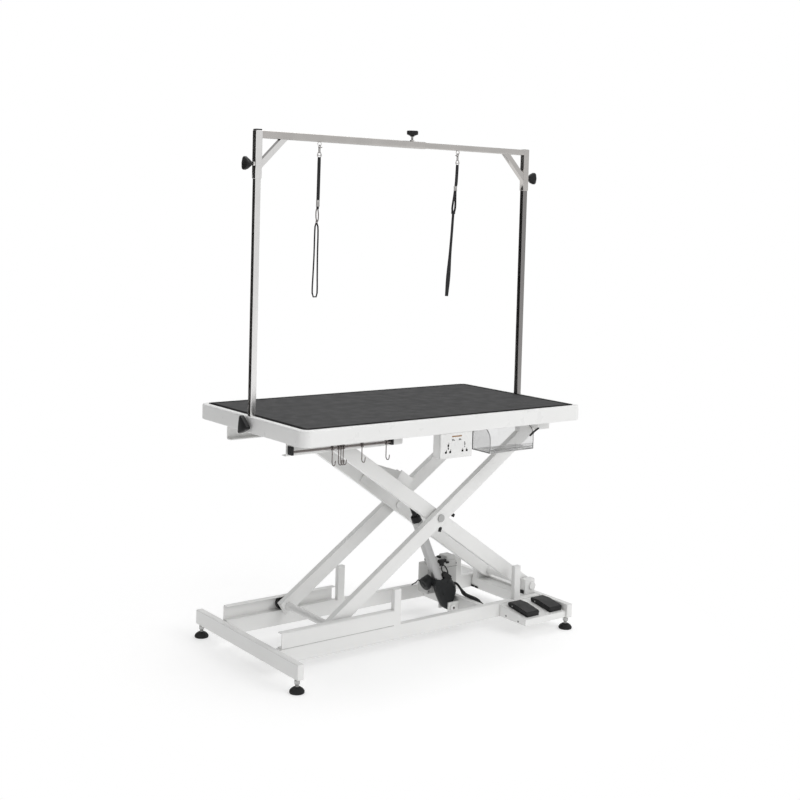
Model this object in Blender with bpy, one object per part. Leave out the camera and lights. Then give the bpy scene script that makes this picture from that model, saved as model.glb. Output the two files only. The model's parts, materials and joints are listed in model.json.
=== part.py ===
# Electric scissor-lift pet grooming table with an overhead arch.
# Metres, +Z up, +X to the right and +Y to the back as a groomer at the pedals sees it.

import math

import bmesh
import bpy
from mathutils import Matrix, Vector

# Driving dimensions

# Clearance between pieces that touch, and between a pin and its bore
GAP = 0.0003

# Tabletop
TOP_LENGTH = 1.200
TOP_DEPTH = 0.670
SKIRT = 0.0525
TOP_CORNER = 0.035
SHEET = 0.003
TOP_EDGE = 0.006
RIM = 0.020
MAT_RECESS = 0.004
MAT_PROUD = 0.0008
MAT_CORNER = 0.020

# Square steel tube of the base and the arms
TUBE_H = 0.050
TUBE_W = 0.025
TUBE_WALL = 0.002

# Base
BASE_Z = 0.044
BEAM_LEFT_INSET = 0.015
BEAM_BEYOND_PIVOT = 0.021
BEAM_DEPTH = 0.662
RAIL_Y = 0.1705
FOOT_INSET = 0.0205
SHELF_W = 0.0415
SHELF_TOP = 0.086
STUD_R = 0.006
CROSS_TO_PIVOT = 0.2595
STOP_W = 0.030
STOP_DEPTH = 0.020
STOP_TOP = 0.217
STOP_TO_ROLLER = 0.2456
STOP_TO_PIVOT = 0.1035

# Scissor: every arm is the same length and turns on a pin at its middle
ARM_LENGTH = 1.094
ARM_END = 0.021
ARM_EDGE = 0.0015
ARM_ANGLE = math.radians(34.68)
PIVOT_INSET = 0.047
PIVOT_Z = 0.120
INNER_Y = 0.1075
OUTER_Y = 0.1375
PIN_R = 0.008
BOLT_R = 0.010
SPACER_R = 0.0125

# Rollers and the channels they run in
ROLLER_R = 0.0225
ROLLER_W = 0.0155
ROLLER_PLAY = 0.0005
CHANNEL_WALL = 0.003
CHANNEL_BEND = 0.006
CHANNEL_INSET = 0.036
CHANNEL_REAR_MORE = 0.0082
CHANNEL_REAR_SHORT = 0.012
UPPER_CHANNEL_LENGTH = 0.463

# Actuator, placed by its two pins
ACT_Y = -0.021
ACT_TO_PIVOT = 0.303
ACT_LOW_Z = 0.062
ACT_ALONG = 0.145
ACT_ABOVE = 0.0637
ACT_PIN_R = 0.006
ACT_EYE_PIN_R = 0.005
ACT_HALF = 0.0235
ACT_TUBE = 0.0315
ACT_TUBE_START = 0.1135
ACT_TUBE_END = 0.366
ACT_CAP_END = 0.388
ACT_BORE_R = 0.0143
NOSE_R = 0.018
NOSE_PLAY = 0.0053
ROD_R = 0.009
MOTOR_R = 0.0243
MOTOR_ALONG = 0.1144
MOTOR_REACH = 0.048
MOTOR_BEHIND = 0.025
ROD_LENGTH = 0.260
CROSS_ALONG = 0.179
CROSS_ABOVE = 0.049

# Arch
POST_INSET = 0.015
POST = 0.0205
SLEEVE = 0.0245
SLEEVE_PLAY = 0.0003
POST_IN_SKIRT = 0.005
BAR_Z = 1.741
SLEEVE_DROP = 0.144
POST_DROP = 0.076
SLEEVE_KNOB_DROP = 0.096
BAR_STEP_X = 0.099
BAR_KNOB_X = 0.045
CLAMP_R = 0.004
STRUT = 0.019
STRUT_LEG = 0.071

# Hooks
HOOK_RAIL_OUT = 0.017
HOOK_RAIL_R = 0.004
HOOK_RAIL_LENGTH = 0.398
HOOK_RAIL_INSET = 0.008
HOOK_PLACES = (0.157, 0.182, 0.191, 0.200, 0.275, 0.374)

# Pedals
PEDAL_W = 0.058
PEDAL_TO_BEAM = (0.162, 0.0505)
PEDAL_LENGTH = 0.103
PEDAL_TO_RAIL = 0.024
PEDAL_MARGIN = 0.012
PEDAL_PIN_INSET = 0.015
PEDAL_RISE = 0.0325
PEDAL_PIN_DROP = 0.0063
PEDAL_PIN_R = 0.003
TRAY_RISE = 0.024
TRAY_SLOPE = 0.1514

# Boxes under the front edge
SOCKET_LEFT = -0.056
SOCKET_LENGTH = 0.137
SOCKET_HEIGHT = 0.0847
SOCKET_DEPTH = 0.042
SOCKET_PLATE = 0.0075
TRAY_LEFT = 0.164
TRAY_LENGTH = 0.203
TRAY_HEIGHT = 0.0857
TRAY_DEPTH = 0.094
TRAY_INSET = 0.005
TRAY_CORNER = 0.040
ACRYLIC = 0.003

# Control box
CONTROL_LENGTH = 0.1405
CONTROL_DEPTH = 0.060
CONTROL_HEIGHT = 0.1102
CONTROL_Y = 0.064
CONTROL_OVER = 0.034

# Nooses
NOOSE_LEFT_X = -0.345
NOOSE_RIGHT_X = 0.255
EYE_R = 0.007
WIRE_R = 0.0015
CORD_R = 0.0035

# Derived dimensions

SIN = math.sin(ARM_ANGLE)
COS = math.cos(ARM_ANGLE)
RISE = ARM_LENGTH * SIN
RUN = ARM_LENGTH * COS
PIVOT_X = TOP_LENGTH / 2 - PIVOT_INSET
UPPER_Z = PIVOT_Z + RISE
ROLLER_X = PIVOT_X - RUN
MID_X = PIVOT_X - RUN / 2
MID_Z = PIVOT_Z + RISE / 2
BEAM_LEFT_X = BEAM_LEFT_INSET - TOP_LENGTH / 2
BEAM_RIGHT_X = PIVOT_X + BEAM_BEYOND_PIVOT
FOOT_Y = BEAM_DEPTH / 2 - FOOT_INSET
CROSS_X = PIVOT_X - CROSS_TO_PIVOT
STOP_LEFT_X = ROLLER_X + STOP_TO_ROLLER
STOP_RIGHT_X = PIVOT_X - STOP_TO_PIVOT
ACT_LOW_X = PIVOT_X - ACT_TO_PIVOT
CHANNEL_HALF = ROLLER_R + ROLLER_PLAY + CHANNEL_WALL
CHANNEL_LEFT = CHANNEL_INSET - TOP_LENGTH / 2
UPPER_CHANNEL_RIGHT = CHANNEL_LEFT + UPPER_CHANNEL_LENGTH
SKIRT_Z = UPPER_Z + CHANNEL_HALF + 0.0015
TOP_Z = SKIRT_Z + SKIRT
PLATE_TOP = TOP_Z - MAT_RECESS
PLATE_Z = PLATE_TOP - SHEET
BEAM_TOP = BASE_Z + TUBE_H
RAIL_OUT = RAIL_Y + TUBE_W / 2
RAIL_IN = RAIL_Y - TUBE_W / 2
BAR_LOW = BAR_Z - SLEEVE / 2
BAR_HIGH = BAR_Z + SLEEVE / 2
SLEEVE_BORE = POST + 2 * SLEEVE_PLAY
SLEEVE_BOTTOM = BAR_Z - SLEEVE_DROP
SLEEVE_KNOB_Z = BAR_Z - SLEEVE_KNOB_DROP
POST_X = TOP_LENGTH / 2 - POST_INSET
POST_BOTTOM = SKIRT_Z + POST_IN_SKIRT
POST_TIP = BAR_Z - POST_DROP
TOP_KNOB_Z = SKIRT_Z + 0.024
HOOK_RAIL_X = CHANNEL_LEFT + HOOK_RAIL_INSET
HOOK_RAIL_Y = -RAIL_OUT - HOOK_RAIL_OUT
HOOK_RAIL_Z = UPPER_Z - 0.0095
HOOK_XS = [HOOK_RAIL_X + place for place in HOOK_PLACES]
TRAY_TOP = BASE_Z + TRAY_RISE
PEDAL_REAR = -RAIL_OUT - PEDAL_TO_RAIL
PEDAL_FRONT = PEDAL_REAR - PEDAL_LENGTH
PEDAL_PIN_Y = PEDAL_REAR - PEDAL_PIN_INSET
PEDAL_TOP = TRAY_TOP + PEDAL_RISE
PEDAL_PIN_Z = PEDAL_TOP - PEDAL_PIN_DROP
PEDAL_XS = [BEAM_RIGHT_X - place for place in PEDAL_TO_BEAM]


def along_inner(along, above):
    """World (x, z) of a point on the inner arms, measured from the middle pivot."""
    return (MID_X - along * COS + above * SIN, MID_Z + along * SIN + above * COS)


ACT_LOW = Vector((ACT_LOW_X, 0.0, ACT_LOW_Z))
EYE_X, EYE_Z = along_inner(ACT_ALONG, ACT_ABOVE)
ACT_DIR = (Vector((EYE_X, 0.0, EYE_Z)) - ACT_LOW).normalized()
ACT_ANGLE = math.atan2(ACT_DIR.z, ACT_DIR.x)

# Start from an empty scene

for old in list(bpy.data.objects):
    bpy.data.objects.remove(old, do_unlink=True)

parts = bpy.data.collections.new("Table")
bpy.context.scene.collection.children.link(parts)
cutters = bpy.data.collections.new("Cutters")
bpy.context.scene.collection.children.link(cutters)
cutters.hide_render = True

materials = {}


def material(name, colour, metallic, roughness):
    made = bpy.data.materials.new(name)
    made.use_nodes = True
    shader = made.node_tree.nodes["Principled BSDF"]
    shader.inputs["Base Color"].default_value = (*colour, 1.0)
    shader.inputs["Metallic"].default_value = metallic
    shader.inputs["Roughness"].default_value = roughness
    materials[name] = made


material("white_paint", (0.86, 0.86, 0.85), 0.0, 0.35)
material("stainless", (0.62, 0.61, 0.59), 1.0, 0.25)
material("zinc_steel", (0.55, 0.56, 0.57), 1.0, 0.4)
material("black_rubber", (0.03, 0.03, 0.03), 0.0, 0.8)
material("black_plastic", (0.02, 0.02, 0.02), 0.0, 0.45)
material("white_plastic", (0.85, 0.85, 0.84), 0.0, 0.3)
material("grey_plastic", (0.62, 0.62, 0.62), 0.0, 0.4)
material("grey_metal", (0.45, 0.45, 0.46), 1.0, 0.4)
material("clear_acrylic", (0.8, 0.84, 0.86), 0.0, 0.1)
material("black_webbing", (0.025, 0.025, 0.025), 0.0, 0.9)

# Pivots: one empty on the axis of each moving body

pivots = {}


def pivot(name, at, parent=None):
    made = bpy.data.objects.new(name, None)
    made.empty_display_size = 0.05
    parts.objects.link(made)
    made.location = at
    if parent:
        made.parent = pivots[parent]
        made.matrix_parent_inverse = Matrix.Translation(-Vector(pivots[parent]["at"]))
    made["at"] = at
    pivots[name] = made


pivot("base", (0, 0, 0))
pivot("inner_frame", (PIVOT_X, 0, PIVOT_Z), "base")
pivot("outer_frame", (MID_X, 0, MID_Z), "inner_frame")
pivot("top", (PIVOT_X, 0, UPPER_Z), "outer_frame")
pivot("arch", (0, 0, BAR_Z), "top")
pivot("actuator", (ACT_LOW_X, ACT_Y, ACT_LOW_Z), "base")
pivot("rod", (EYE_X, ACT_Y, EYE_Z), "inner_frame")

# Shape helpers: each returns a mesh placed in world space


def link(mesh, name, look=None, parent=None, helper=False):
    made = bpy.data.objects.new(name, mesh)
    if helper:
        cutters.objects.link(made)
        made.display_type = "WIRE"
        made.hide_render = True
        return made
    parts.objects.link(made)
    made.data.materials.append(materials[look])
    if parent:
        made.parent = pivots[parent]
        made.matrix_parent_inverse = Matrix.Translation(-Vector(pivots[parent]["at"]))
    return made


def finish(bm, name):
    bmesh.ops.recalc_face_normals(bm, faces=bm.faces)
    mesh = bpy.data.meshes.new(name)
    bm.to_mesh(mesh)
    bm.free()
    return mesh


def box(low, high, bevel=0.0, segments=1, name="box"):
    bm = bmesh.new()
    bmesh.ops.create_cube(bm, size=1.0)
    size = [h - l for l, h in zip(low, high)]
    centre = [(h + l) / 2 for l, h in zip(low, high)]
    bmesh.ops.scale(bm, vec=size, verts=bm.verts)
    if bevel:
        bmesh.ops.bevel(
            bm,
            geom=list(bm.edges),
            offset=bevel,
            segments=segments,
            profile=0.5,
            affect="EDGES",
        )
    bmesh.ops.translate(bm, vec=centre, verts=bm.verts)
    return finish(bm, name)


AXES = {
    "X": Matrix.Rotation(math.pi / 2, 4, "Y"),
    "Y": Matrix.Rotation(-math.pi / 2, 4, "X"),
    "Z": Matrix.Identity(4),
}


def rod(radius, start, length, axis, sides=20, tip=None, name="rod"):
    """A round bar that starts at a point and runs along an axis or a direction."""
    bm = bmesh.new()
    bmesh.ops.create_cone(
        bm,
        cap_ends=True,
        segments=sides,
        radius1=radius,
        radius2=radius if tip is None else tip,
        depth=length,
    )
    bmesh.ops.translate(bm, vec=(0, 0, length / 2), verts=bm.verts)
    turn = AXES[axis] if isinstance(axis, str) else axis.to_track_quat("Z", "Y").to_matrix().to_4x4()
    bmesh.ops.transform(bm, matrix=Matrix.Translation(start) @ turn, verts=bm.verts)
    return finish(bm, name)


def prism(outline, low, high, axis="Z", name="prism"):
    """A closed outline pushed along an axis. Y outlines are given as (x, z), X ones as (y, z)."""
    bm = bmesh.new()
    if axis == "Z":
        ring = [bm.verts.new((u, v, low)) for u, v in outline]
        push = (0, 0, high - low)
    elif axis == "Y":
        ring = [bm.verts.new((u, low, v)) for u, v in outline]
        push = (0, high - low, 0)
    else:
        ring = [bm.verts.new((low, u, v)) for u, v in outline]
        push = (high - low, 0, 0)
    face = bm.faces.new(ring)
    grown = bmesh.ops.extrude_face_region(bm, geom=[face])
    moved = [item for item in grown["geom"] if isinstance(item, bmesh.types.BMVert)]
    bmesh.ops.translate(bm, vec=push, verts=moved)
    return finish(bm, name)


def stack(outlines, name="stack"):
    """A solid whose section changes from one outline to the next: each is a list of points."""
    bm = bmesh.new()
    rings = [[bm.verts.new(point) for point in outline] for outline in outlines]
    bm.faces.new(rings[0])
    bm.faces.new(rings[-1])
    for first, second in zip(rings, rings[1:]):
        for i in range(len(first)):
            j = (i + 1) % len(first)
            bm.faces.new((first[i], first[j], second[j], second[i]))
    return finish(bm, name)


def lathe(profile, at, sides=24, axis="Z", name="lathe"):
    """A profile of (radius, height) points turned about an axis through a point."""
    bm = bmesh.new()
    rings = []
    for radius, height in profile:
        if radius == 0:
            rings.append([bm.verts.new((0, 0, height))])
            continue
        rings.append(
            [
                bm.verts.new(
                    (
                        radius * math.cos(2 * math.pi * i / sides),
                        radius * math.sin(2 * math.pi * i / sides),
                        height,
                    )
                )
                for i in range(sides)
            ]
        )
    for first, second in zip(rings, rings[1:]):
        for i in range(sides):
            j = (i + 1) % sides
            corners = [first[i % len(first)], first[j % len(first)]]
            corners += [second[j % len(second)], second[i % len(second)]]
            bm.faces.new(list(dict.fromkeys(corners)))
    bmesh.ops.transform(bm, matrix=Matrix.Translation(at) @ AXES[axis], verts=bm.verts)
    return finish(bm, name)


def tube(points, radius, closed=False, sides=8, name="tube"):
    """A round cord or wire along a list of points."""
    path = [Vector(p) for p in points]
    count = len(path)
    bm = bmesh.new()
    rings = []
    side = None
    for i, point in enumerate(path):
        before = path[i - 1] if closed or i else path[0]
        after = path[(i + 1) % count] if closed or i < count - 1 else path[-1]
        ahead = (after - before).normalized()
        if side is None:
            side = ahead.orthogonal().normalized()
        side = (side - ahead * side.dot(ahead)).normalized()
        other = ahead.cross(side)
        rings.append(
            [
                bm.verts.new(
                    point
                    + side * radius * math.cos(2 * math.pi * k / sides)
                    + other * radius * math.sin(2 * math.pi * k / sides)
                )
                for k in range(sides)
            ]
        )
    pairs = list(zip(rings, rings[1:]))
    if closed:
        last, first = rings[-1], rings[0]
        shift = min(range(sides), key=lambda s: (last[0].co - first[s].co).length)
        pairs.append((last, first[shift:] + first[:shift]))
    else:
        bm.faces.new(rings[0])
        bm.faces.new(rings[-1])
    for first, second in pairs:
        for k in range(sides):
            m = (k + 1) % sides
            bm.faces.new((first[k], first[m], second[m], second[k]))
    return finish(bm, name)


def ring(centre, major, minor, axis="Y", sides=18, wire=8):
    """A wire ring round an axis through its centre."""
    turn = AXES[axis].to_3x3()
    points = [
        Vector(centre)
        + turn
        @ Vector(
            (
                major * math.cos(2 * math.pi * i / sides),
                major * math.sin(2 * math.pi * i / sides),
                0,
            )
        )
        for i in range(sides)
    ]
    return tube(points, minor, closed=True, sides=wire)


def rounded(length, depth, radius, steps=6, x=0.0, y=0.0):
    """Outline of a rectangle with round corners."""
    outline = []
    corners = ((1, 1, 0), (-1, 1, 90), (-1, -1, 180), (1, -1, 270))
    for sx, sy, start in corners:
        cx = x + sx * (length / 2 - radius)
        cy = y + sy * (depth / 2 - radius)
        for i in range(steps + 1):
            a = math.radians(start + 90 * i / steps)
            outline.append((cx + radius * math.cos(a), cy + radius * math.sin(a)))
    return outline


def combine(target, operation, meshes):
    for i, mesh in enumerate(meshes):
        helper = link(mesh, f"{target.name}_{operation.lower()}_{i}", helper=True)
        change = target.modifiers.new(f"{operation.lower()} {i}", "BOOLEAN")
        change.operation = operation
        change.solver = "EXACT"
        change.object = helper


def fuse(target, meshes):
    combine(target, "UNION", meshes)


def cut(target, meshes):
    combine(target, "DIFFERENCE", meshes)


def channel(out, inside, low, high, bent, left, right):
    """A length along X of bent sheet, solid here, with the bent corners of its outer side round."""
    heading = 1 if inside > out else -1
    outline = [(inside, low)]
    for z, turn, start in ((low, 1, 270), (high, -1, 180)):
        if z not in bent:
            outline.append((out, z))
            continue
        for i in range(5):
            a = math.radians(start - 90 * i / 4)
            outline.append(
                (
                    out + heading * CHANNEL_BEND * (1 + math.cos(a)),
                    z + CHANNEL_BEND * (turn + math.sin(a)),
                )
            )
    outline.append((inside, high))
    return prism(outline, left, right, "X")


# Base: two rails with stop posts and roller channels, two beams, a cross tube

rail_left = BEAM_LEFT_X + TUBE_W / 2 + GAP
rail_right = BEAM_RIGHT_X - TUBE_W / 2 - GAP
for side, place in ((-1, "front"), (1, "rear")):
    out, inside = sorted((side * RAIL_OUT, side * RAIL_IN))
    low_in, high_in = sorted((side * (RAIL_OUT - TUBE_WALL), side * (RAIL_IN + TUBE_WALL)))
    rail = link(
        box((rail_left, out, BASE_Z), (rail_right, inside, BEAM_TOP), 0.002),
        f"base_rail_{place}",
        "white_paint",
        "base",
    )
    posts = []
    hollows = [box((rail_left - 0.01, low_in, BASE_Z + TUBE_WALL), (rail_right + 0.01, high_in, BEAM_TOP - TUBE_WALL))]
    post_in = out + STOP_DEPTH
    for x in (STOP_LEFT_X, STOP_RIGHT_X):
        half = STOP_W / 2
        posts.append(box((x - half, out, BEAM_TOP - 0.006), (x + half, post_in, STOP_TOP), 0.002))
        hollows.append(
            box(
                (x - half + 0.002, out + 0.0025, BEAM_TOP - 0.01),
                (x + half - 0.002, post_in - 0.002, STOP_TOP - 0.003),
            )
        )
    channel_left = CHANNEL_LEFT if side < 0 else CHANNEL_LEFT - CHANNEL_REAR_MORE
    channel_right = STOP_LEFT_X - STOP_W / 2
    if side > 0:
        channel_right -= CHANNEL_REAR_SHORT
    channel_top = PIVOT_Z + CHANNEL_HALF
    posts.append(
        channel(
            side * RAIL_OUT,
            side * RAIL_IN,
            BEAM_TOP - 0.001,
            channel_top,
            (channel_top,),
            channel_left,
            channel_right + (0.003 if side < 0 else 0),
        )
    )
    web_in = side * (RAIL_OUT - CHANNEL_WALL)
    clear = side * (RAIL_IN - 0.01)
    low_slot, high_slot = sorted((web_in, clear))
    hollows.append(
        box(
            (channel_left - 0.01, low_slot, channel_top - CHANNEL_WALL - 2 * (ROLLER_R + ROLLER_PLAY)),
            (channel_right + (-0.0012 if side < 0 else 0.01), high_slot, channel_top - CHANNEL_WALL),
        )
    )
    fuse(rail, posts)
    cut(rail, hollows)

for name, x in (("base_beam_left", BEAM_LEFT_X), ("base_beam_right", BEAM_RIGHT_X)):
    half = TUBE_W / 2
    beam = link(
        box((x - half, -BEAM_DEPTH / 2, BASE_Z), (x + half, BEAM_DEPTH / 2, BEAM_TOP), 0.002),
        name,
        "white_paint",
        "base",
    )
    holes = [
        box(
            (x - half + TUBE_WALL, -BEAM_DEPTH / 2 + TUBE_WALL, BASE_Z + TUBE_WALL),
            (x + half - TUBE_WALL, BEAM_DEPTH / 2 - TUBE_WALL, BEAM_TOP - TUBE_WALL),
        )
    ]
    for y in (-FOOT_Y, FOOT_Y):
        holes.append(rod(STUD_R + GAP, (x, y, BASE_Z - 0.005), 0.010, "Z"))
    if name == "base_beam_right":
        lugs = []
        lug_in = INNER_Y + TUBE_W / 2 + 0.003
        lug_out = lug_in + 0.027
        for side in (-1, 1):
            low, high = sorted((side * lug_in, side * lug_out))
            lugs.append(box((PIVOT_X - 0.036, low, BEAM_TOP - 0.014), (PIVOT_X + 0.0155, high, PIVOT_Z + 0.027), 0.003))
            holes.append(rod(PIN_R + GAP, (PIVOT_X, low - 0.005, PIVOT_Z), high - low + 0.010, "Y"))
        shelf_left = x - half - SHELF_W
        lugs.append(box((shelf_left, -RAIL_IN + GAP, BASE_Z), (x - half + 0.001, RAIL_IN - GAP, SHELF_TOP), 0.002))
        holes.append(
            box(
                (shelf_left + TUBE_WALL, -RAIL_IN + GAP + TUBE_WALL, BASE_Z - 0.01),
                (x - half - 0.001, RAIL_IN - GAP - TUBE_WALL, SHELF_TOP - TUBE_WALL),
            )
        )
        fuse(beam, lugs)
    cut(beam, holes)

cross = link(
    box(
        (CROSS_X - TUBE_W / 2, -RAIL_IN + GAP, BASE_Z),
        (CROSS_X + TUBE_W / 2, RAIL_IN - GAP, BEAM_TOP),
        0.002,
    ),
    "base_cross_tube",
    "white_paint",
    "base",
)
cross_face = CROSS_X - TUBE_W / 2
act_lugs = []
lug_gap = ACT_HALF + 0.001
for y in (ACT_Y - lug_gap - 0.006, ACT_Y + lug_gap):
    act_lugs.append(
        box((ACT_LOW_X - 0.017, y, ACT_LOW_Z - 0.015), (cross_face + 0.001, y + 0.006, ACT_LOW_Z + 0.019))
    )
pin_start = ACT_Y - lug_gap - 0.010
act_lugs.append(rod(0.0105, (ACT_LOW_X, pin_start, ACT_LOW_Z), 0.0045, "Y"))
act_lugs.append(rod(ACT_PIN_R, (ACT_LOW_X, pin_start + 0.001, ACT_LOW_Z), 2 * lug_gap + 0.015, "Y"))
cut(
    cross,
    [
        box(
            (cross_face + TUBE_WALL, -RAIL_IN - 0.01, BASE_Z + TUBE_WALL),
            (CROSS_X + TUBE_W / 2 - TUBE_WALL, RAIL_IN + 0.01, BEAM_TOP - TUBE_WALL),
        )
    ],
)
fuse(cross, act_lugs)

# Levelling feet: rubber pad, nut and threaded stud

for name, x, y in (
    ("level_foot_front_left", BEAM_LEFT_X, -FOOT_Y),
    ("level_foot_front_right", BEAM_RIGHT_X, -FOOT_Y),
    ("level_foot_rear_left", BEAM_LEFT_X, FOOT_Y),
    ("level_foot_rear_right", BEAM_RIGHT_X, FOOT_Y),
):
    pivot(f"{name}_axis", (x, y, 0), "base")
    link(
        lathe(
            (
                (0, 0),
                (0.0235, 0),
                (0.0247, 0.003),
                (0.0240, 0.007),
                (0.0205, 0.012),
                (0.0145, 0.0165),
                (0.0095, 0.0190),
                (STUD_R, 0.0195),
                (STUD_R, 0.0280),
                (0.0085, 0.0280),
                (0.0085, 0.0395),
                (STUD_R, 0.0395),
                (STUD_R, BASE_Z + 0.016),
                (0, BASE_Z + 0.016),
            ),
            (x, y, 0),
            16,
        ),
        name,
        "black_rubber",
        f"{name}_axis",
    )

# Pedal tray and the two foot pedals

tray_left = PEDAL_XS[0] - PEDAL_W / 2 - 0.018
tray_low = BASE_Z + 0.0015
tray_front = PEDAL_FRONT - PEDAL_MARGIN
tray_rear = -RAIL_OUT - GAP


def tray_z(y, above=0.0):
    """Height of the tray's sloping face, or of a plane over it."""
    return TRAY_TOP + TRAY_SLOPE * (y - tray_front) + above


tray = link(
    prism(
        (
            (tray_front, tray_low),
            (tray_rear, tray_low),
            (tray_rear, tray_z(tray_rear)),
            (tray_front, tray_z(tray_front)),
        ),
        tray_left,
        rail_right,
        "X",
    ),
    "pedal_tray",
    "white_paint",
    "base",
)
cut(
    tray,
    [
        prism(
            (
                (tray_front + 0.002, tray_low - 0.01),
                (tray_rear - 0.002, tray_low - 0.01),
                (tray_rear - 0.002, tray_z(tray_rear - 0.002, -0.002)),
                (tray_front + 0.002, tray_z(tray_front + 0.002, -0.002)),
            ),
            tray_left + 0.002,
            rail_right - 0.002,
            "X",
        )
    ],
)

BASE_INSET = 0.003
for name, x in zip(("left", "right"), PEDAL_XS):
    half = PEDAL_W / 2
    base_front = PEDAL_FRONT + BASE_INSET
    stand = link(
        prism(
            (
                (base_front, tray_z(base_front, GAP)),
                (PEDAL_REAR, tray_z(PEDAL_REAR, GAP)),
                (PEDAL_REAR, tray_z(PEDAL_REAR, 0.004)),
                (base_front, tray_z(base_front, 0.004)),
            ),
            x - half + BASE_INSET,
            x + half - BASE_INSET,
            "X",
        ),
        f"pedal_base_{name}",
        "black_plastic",
        "base",
    )
    fuse(
        stand,
        [
            box(
                (x - 0.015, PEDAL_PIN_Y - 0.007, tray_z(PEDAL_PIN_Y, 0.002)),
                (x + 0.015, PEDAL_PIN_Y + 0.007, PEDAL_PIN_Z + 0.0035),
            ),
            rod(PEDAL_PIN_R, (x - half, PEDAL_PIN_Y, PEDAL_PIN_Z), PEDAL_W, "X", 12),
        ],
    )
    pivot(f"pedal_{name}_axis", (x, PEDAL_PIN_Y, PEDAL_PIN_Z), "base")
    treadle = link(
        prism(
            (
                (PEDAL_REAR, tray_z(PEDAL_REAR, 0.0050)),
                (PEDAL_PIN_Y, tray_z(PEDAL_PIN_Y, 0.0048)),
                (PEDAL_FRONT + 0.004, tray_z(PEDAL_FRONT + 0.004, 0.0076)),
                (PEDAL_FRONT, tray_z(PEDAL_FRONT, 0.0100)),
                (PEDAL_FRONT - 0.001, tray_z(PEDAL_FRONT, 0.0150)),
                (PEDAL_FRONT + 0.003, tray_z(PEDAL_FRONT, 0.0190)),
                (PEDAL_REAR - 0.041, PEDAL_TOP),
                (PEDAL_REAR - 0.003, PEDAL_TOP),
                (PEDAL_REAR, PEDAL_TOP - 0.003),
            ),
            x - half,
            x + half,
            "X",
        ),
        f"pedal_{name}",
        "black_plastic",
        f"pedal_{name}_axis",
    )
    cut(
        treadle,
        [
            box(
                (x - 0.016, PEDAL_PIN_Y - 0.0085, tray_z(PEDAL_PIN_Y) - 0.01),
                (x + 0.016, PEDAL_PIN_Y + 0.0085, PEDAL_PIN_Z + 0.0042),
            ),
            rod(PEDAL_PIN_R + GAP, (x - half - 0.005, PEDAL_PIN_Y, PEDAL_PIN_Z), PEDAL_W + 0.010, "X", 12),
        ],
    )

# Control box on the cross tube

control_left = CROSS_X + TUBE_W / 2 + CONTROL_OVER - CONTROL_LENGTH
control_low = BEAM_TOP + GAP
control_top = control_low + CONTROL_HEIGHT
control_front = CONTROL_Y - CONTROL_DEPTH / 2
control = link(
    box(
        (control_left, control_front, control_low),
        (control_left + CONTROL_LENGTH, control_front + CONTROL_DEPTH, control_top),
        0.004,
    ),
    "control_box",
    "grey_plastic",
    "base",
)
sockets = [
    rod(0.009, (control_left + x, CONTROL_Y, control_top - 0.005), 0.018, "Z", 14)
    for x in (0.018, 0.048, 0.074)
]
sockets.append(
    box(
        (control_left + 0.0975, CONTROL_Y - 0.019, control_top - 0.005),
        (control_left + CONTROL_LENGTH, CONTROL_Y + CONTROL_DEPTH / 2, control_top + 0.017),
        0.003,
    )
)
fuse(control, sockets)

# Scissor arms


def arm_outline(start, end, square, inset, y, steps=8):
    """Outline at y of an arm between two pins of the XZ plane, its ends round or square."""
    heading = math.atan2(end[1] - start[1], end[0] - start[0])
    radius = TUBE_H / 2 - inset
    beyond = ARM_END - inset
    outline = []
    for point, ahead in ((end, heading), (start, heading + math.pi)):
        if point == square:
            for across in (-radius, radius):
                u = beyond * math.cos(ahead) - across * math.sin(ahead)
                v = beyond * math.sin(ahead) + across * math.cos(ahead)
                outline.append((point[0] + u, y, point[1] + v))
            continue
        for i in range(steps + 1):
            a = ahead - math.pi / 2 + math.pi * i / steps
            outline.append((point[0] + radius * math.cos(a), y, point[1] + radius * math.sin(a)))
    return outline


def bar_outline(start, end, half):
    """Outline of a straight bar with square ends."""
    ahead = (Vector(end) - Vector(start)).normalized()
    across = Vector((-ahead.y, ahead.x)) * half
    corners = (Vector(start) - across, Vector(end) - across, Vector(end) + across, Vector(start) + across)
    return [tuple(c) for c in corners]


lower_right = (PIVOT_X, PIVOT_Z)
lower_left = (ROLLER_X, PIVOT_Z)
upper_right = (PIVOT_X, UPPER_Z)
upper_left = (ROLLER_X, UPPER_Z)
middle = (MID_X, MID_Z)

for kind, ends, square, y in (
    ("inner", (lower_right, upper_left), upper_left, INNER_Y),
    ("outer", (lower_left, upper_right), lower_left, OUTER_Y),
):
    for side, place in ((-1, "front"), (1, "rear")):
        low = side * y - TUBE_W / 2
        high = side * y + TUBE_W / 2
        levels = ((low, ARM_EDGE), (low + ARM_EDGE, 0), (high - ARM_EDGE, 0), (high, ARM_EDGE))
        arm = link(
            stack([arm_outline(*ends, square, inset, at) for at, inset in levels]),
            f"{kind}_arm_{place}",
            "white_paint",
            f"{kind}_frame",
        )
        bores = [
            prism(bar_outline(ends[0], ends[1], TUBE_H / 2 - TUBE_WALL), low + TUBE_WALL, high - TUBE_WALL, "Y"),
            rod(BOLT_R + GAP, (MID_X, low - 0.005, MID_Z), TUBE_W + 0.010, "Y"),
        ]
        for x, z in ends:
            bores.append(rod(PIN_R + GAP, (x, low - 0.005, z), TUBE_W + 0.010, "Y"))
        cut(arm, bores)

# Cross shafts: each is a pin through both arms with a spacer tube between them

inner_in = INNER_Y - TUBE_W / 2 - GAP
inner_out = INNER_Y + TUBE_W / 2 + GAP
outer_in = OUTER_Y - TUBE_W / 2 - GAP
outer_out = OUTER_Y + TUBE_W / 2 + GAP
roller_far = RAIL_OUT - CHANNEL_WALL - 0.0015
roller_near = roller_far - ROLLER_W


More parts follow.
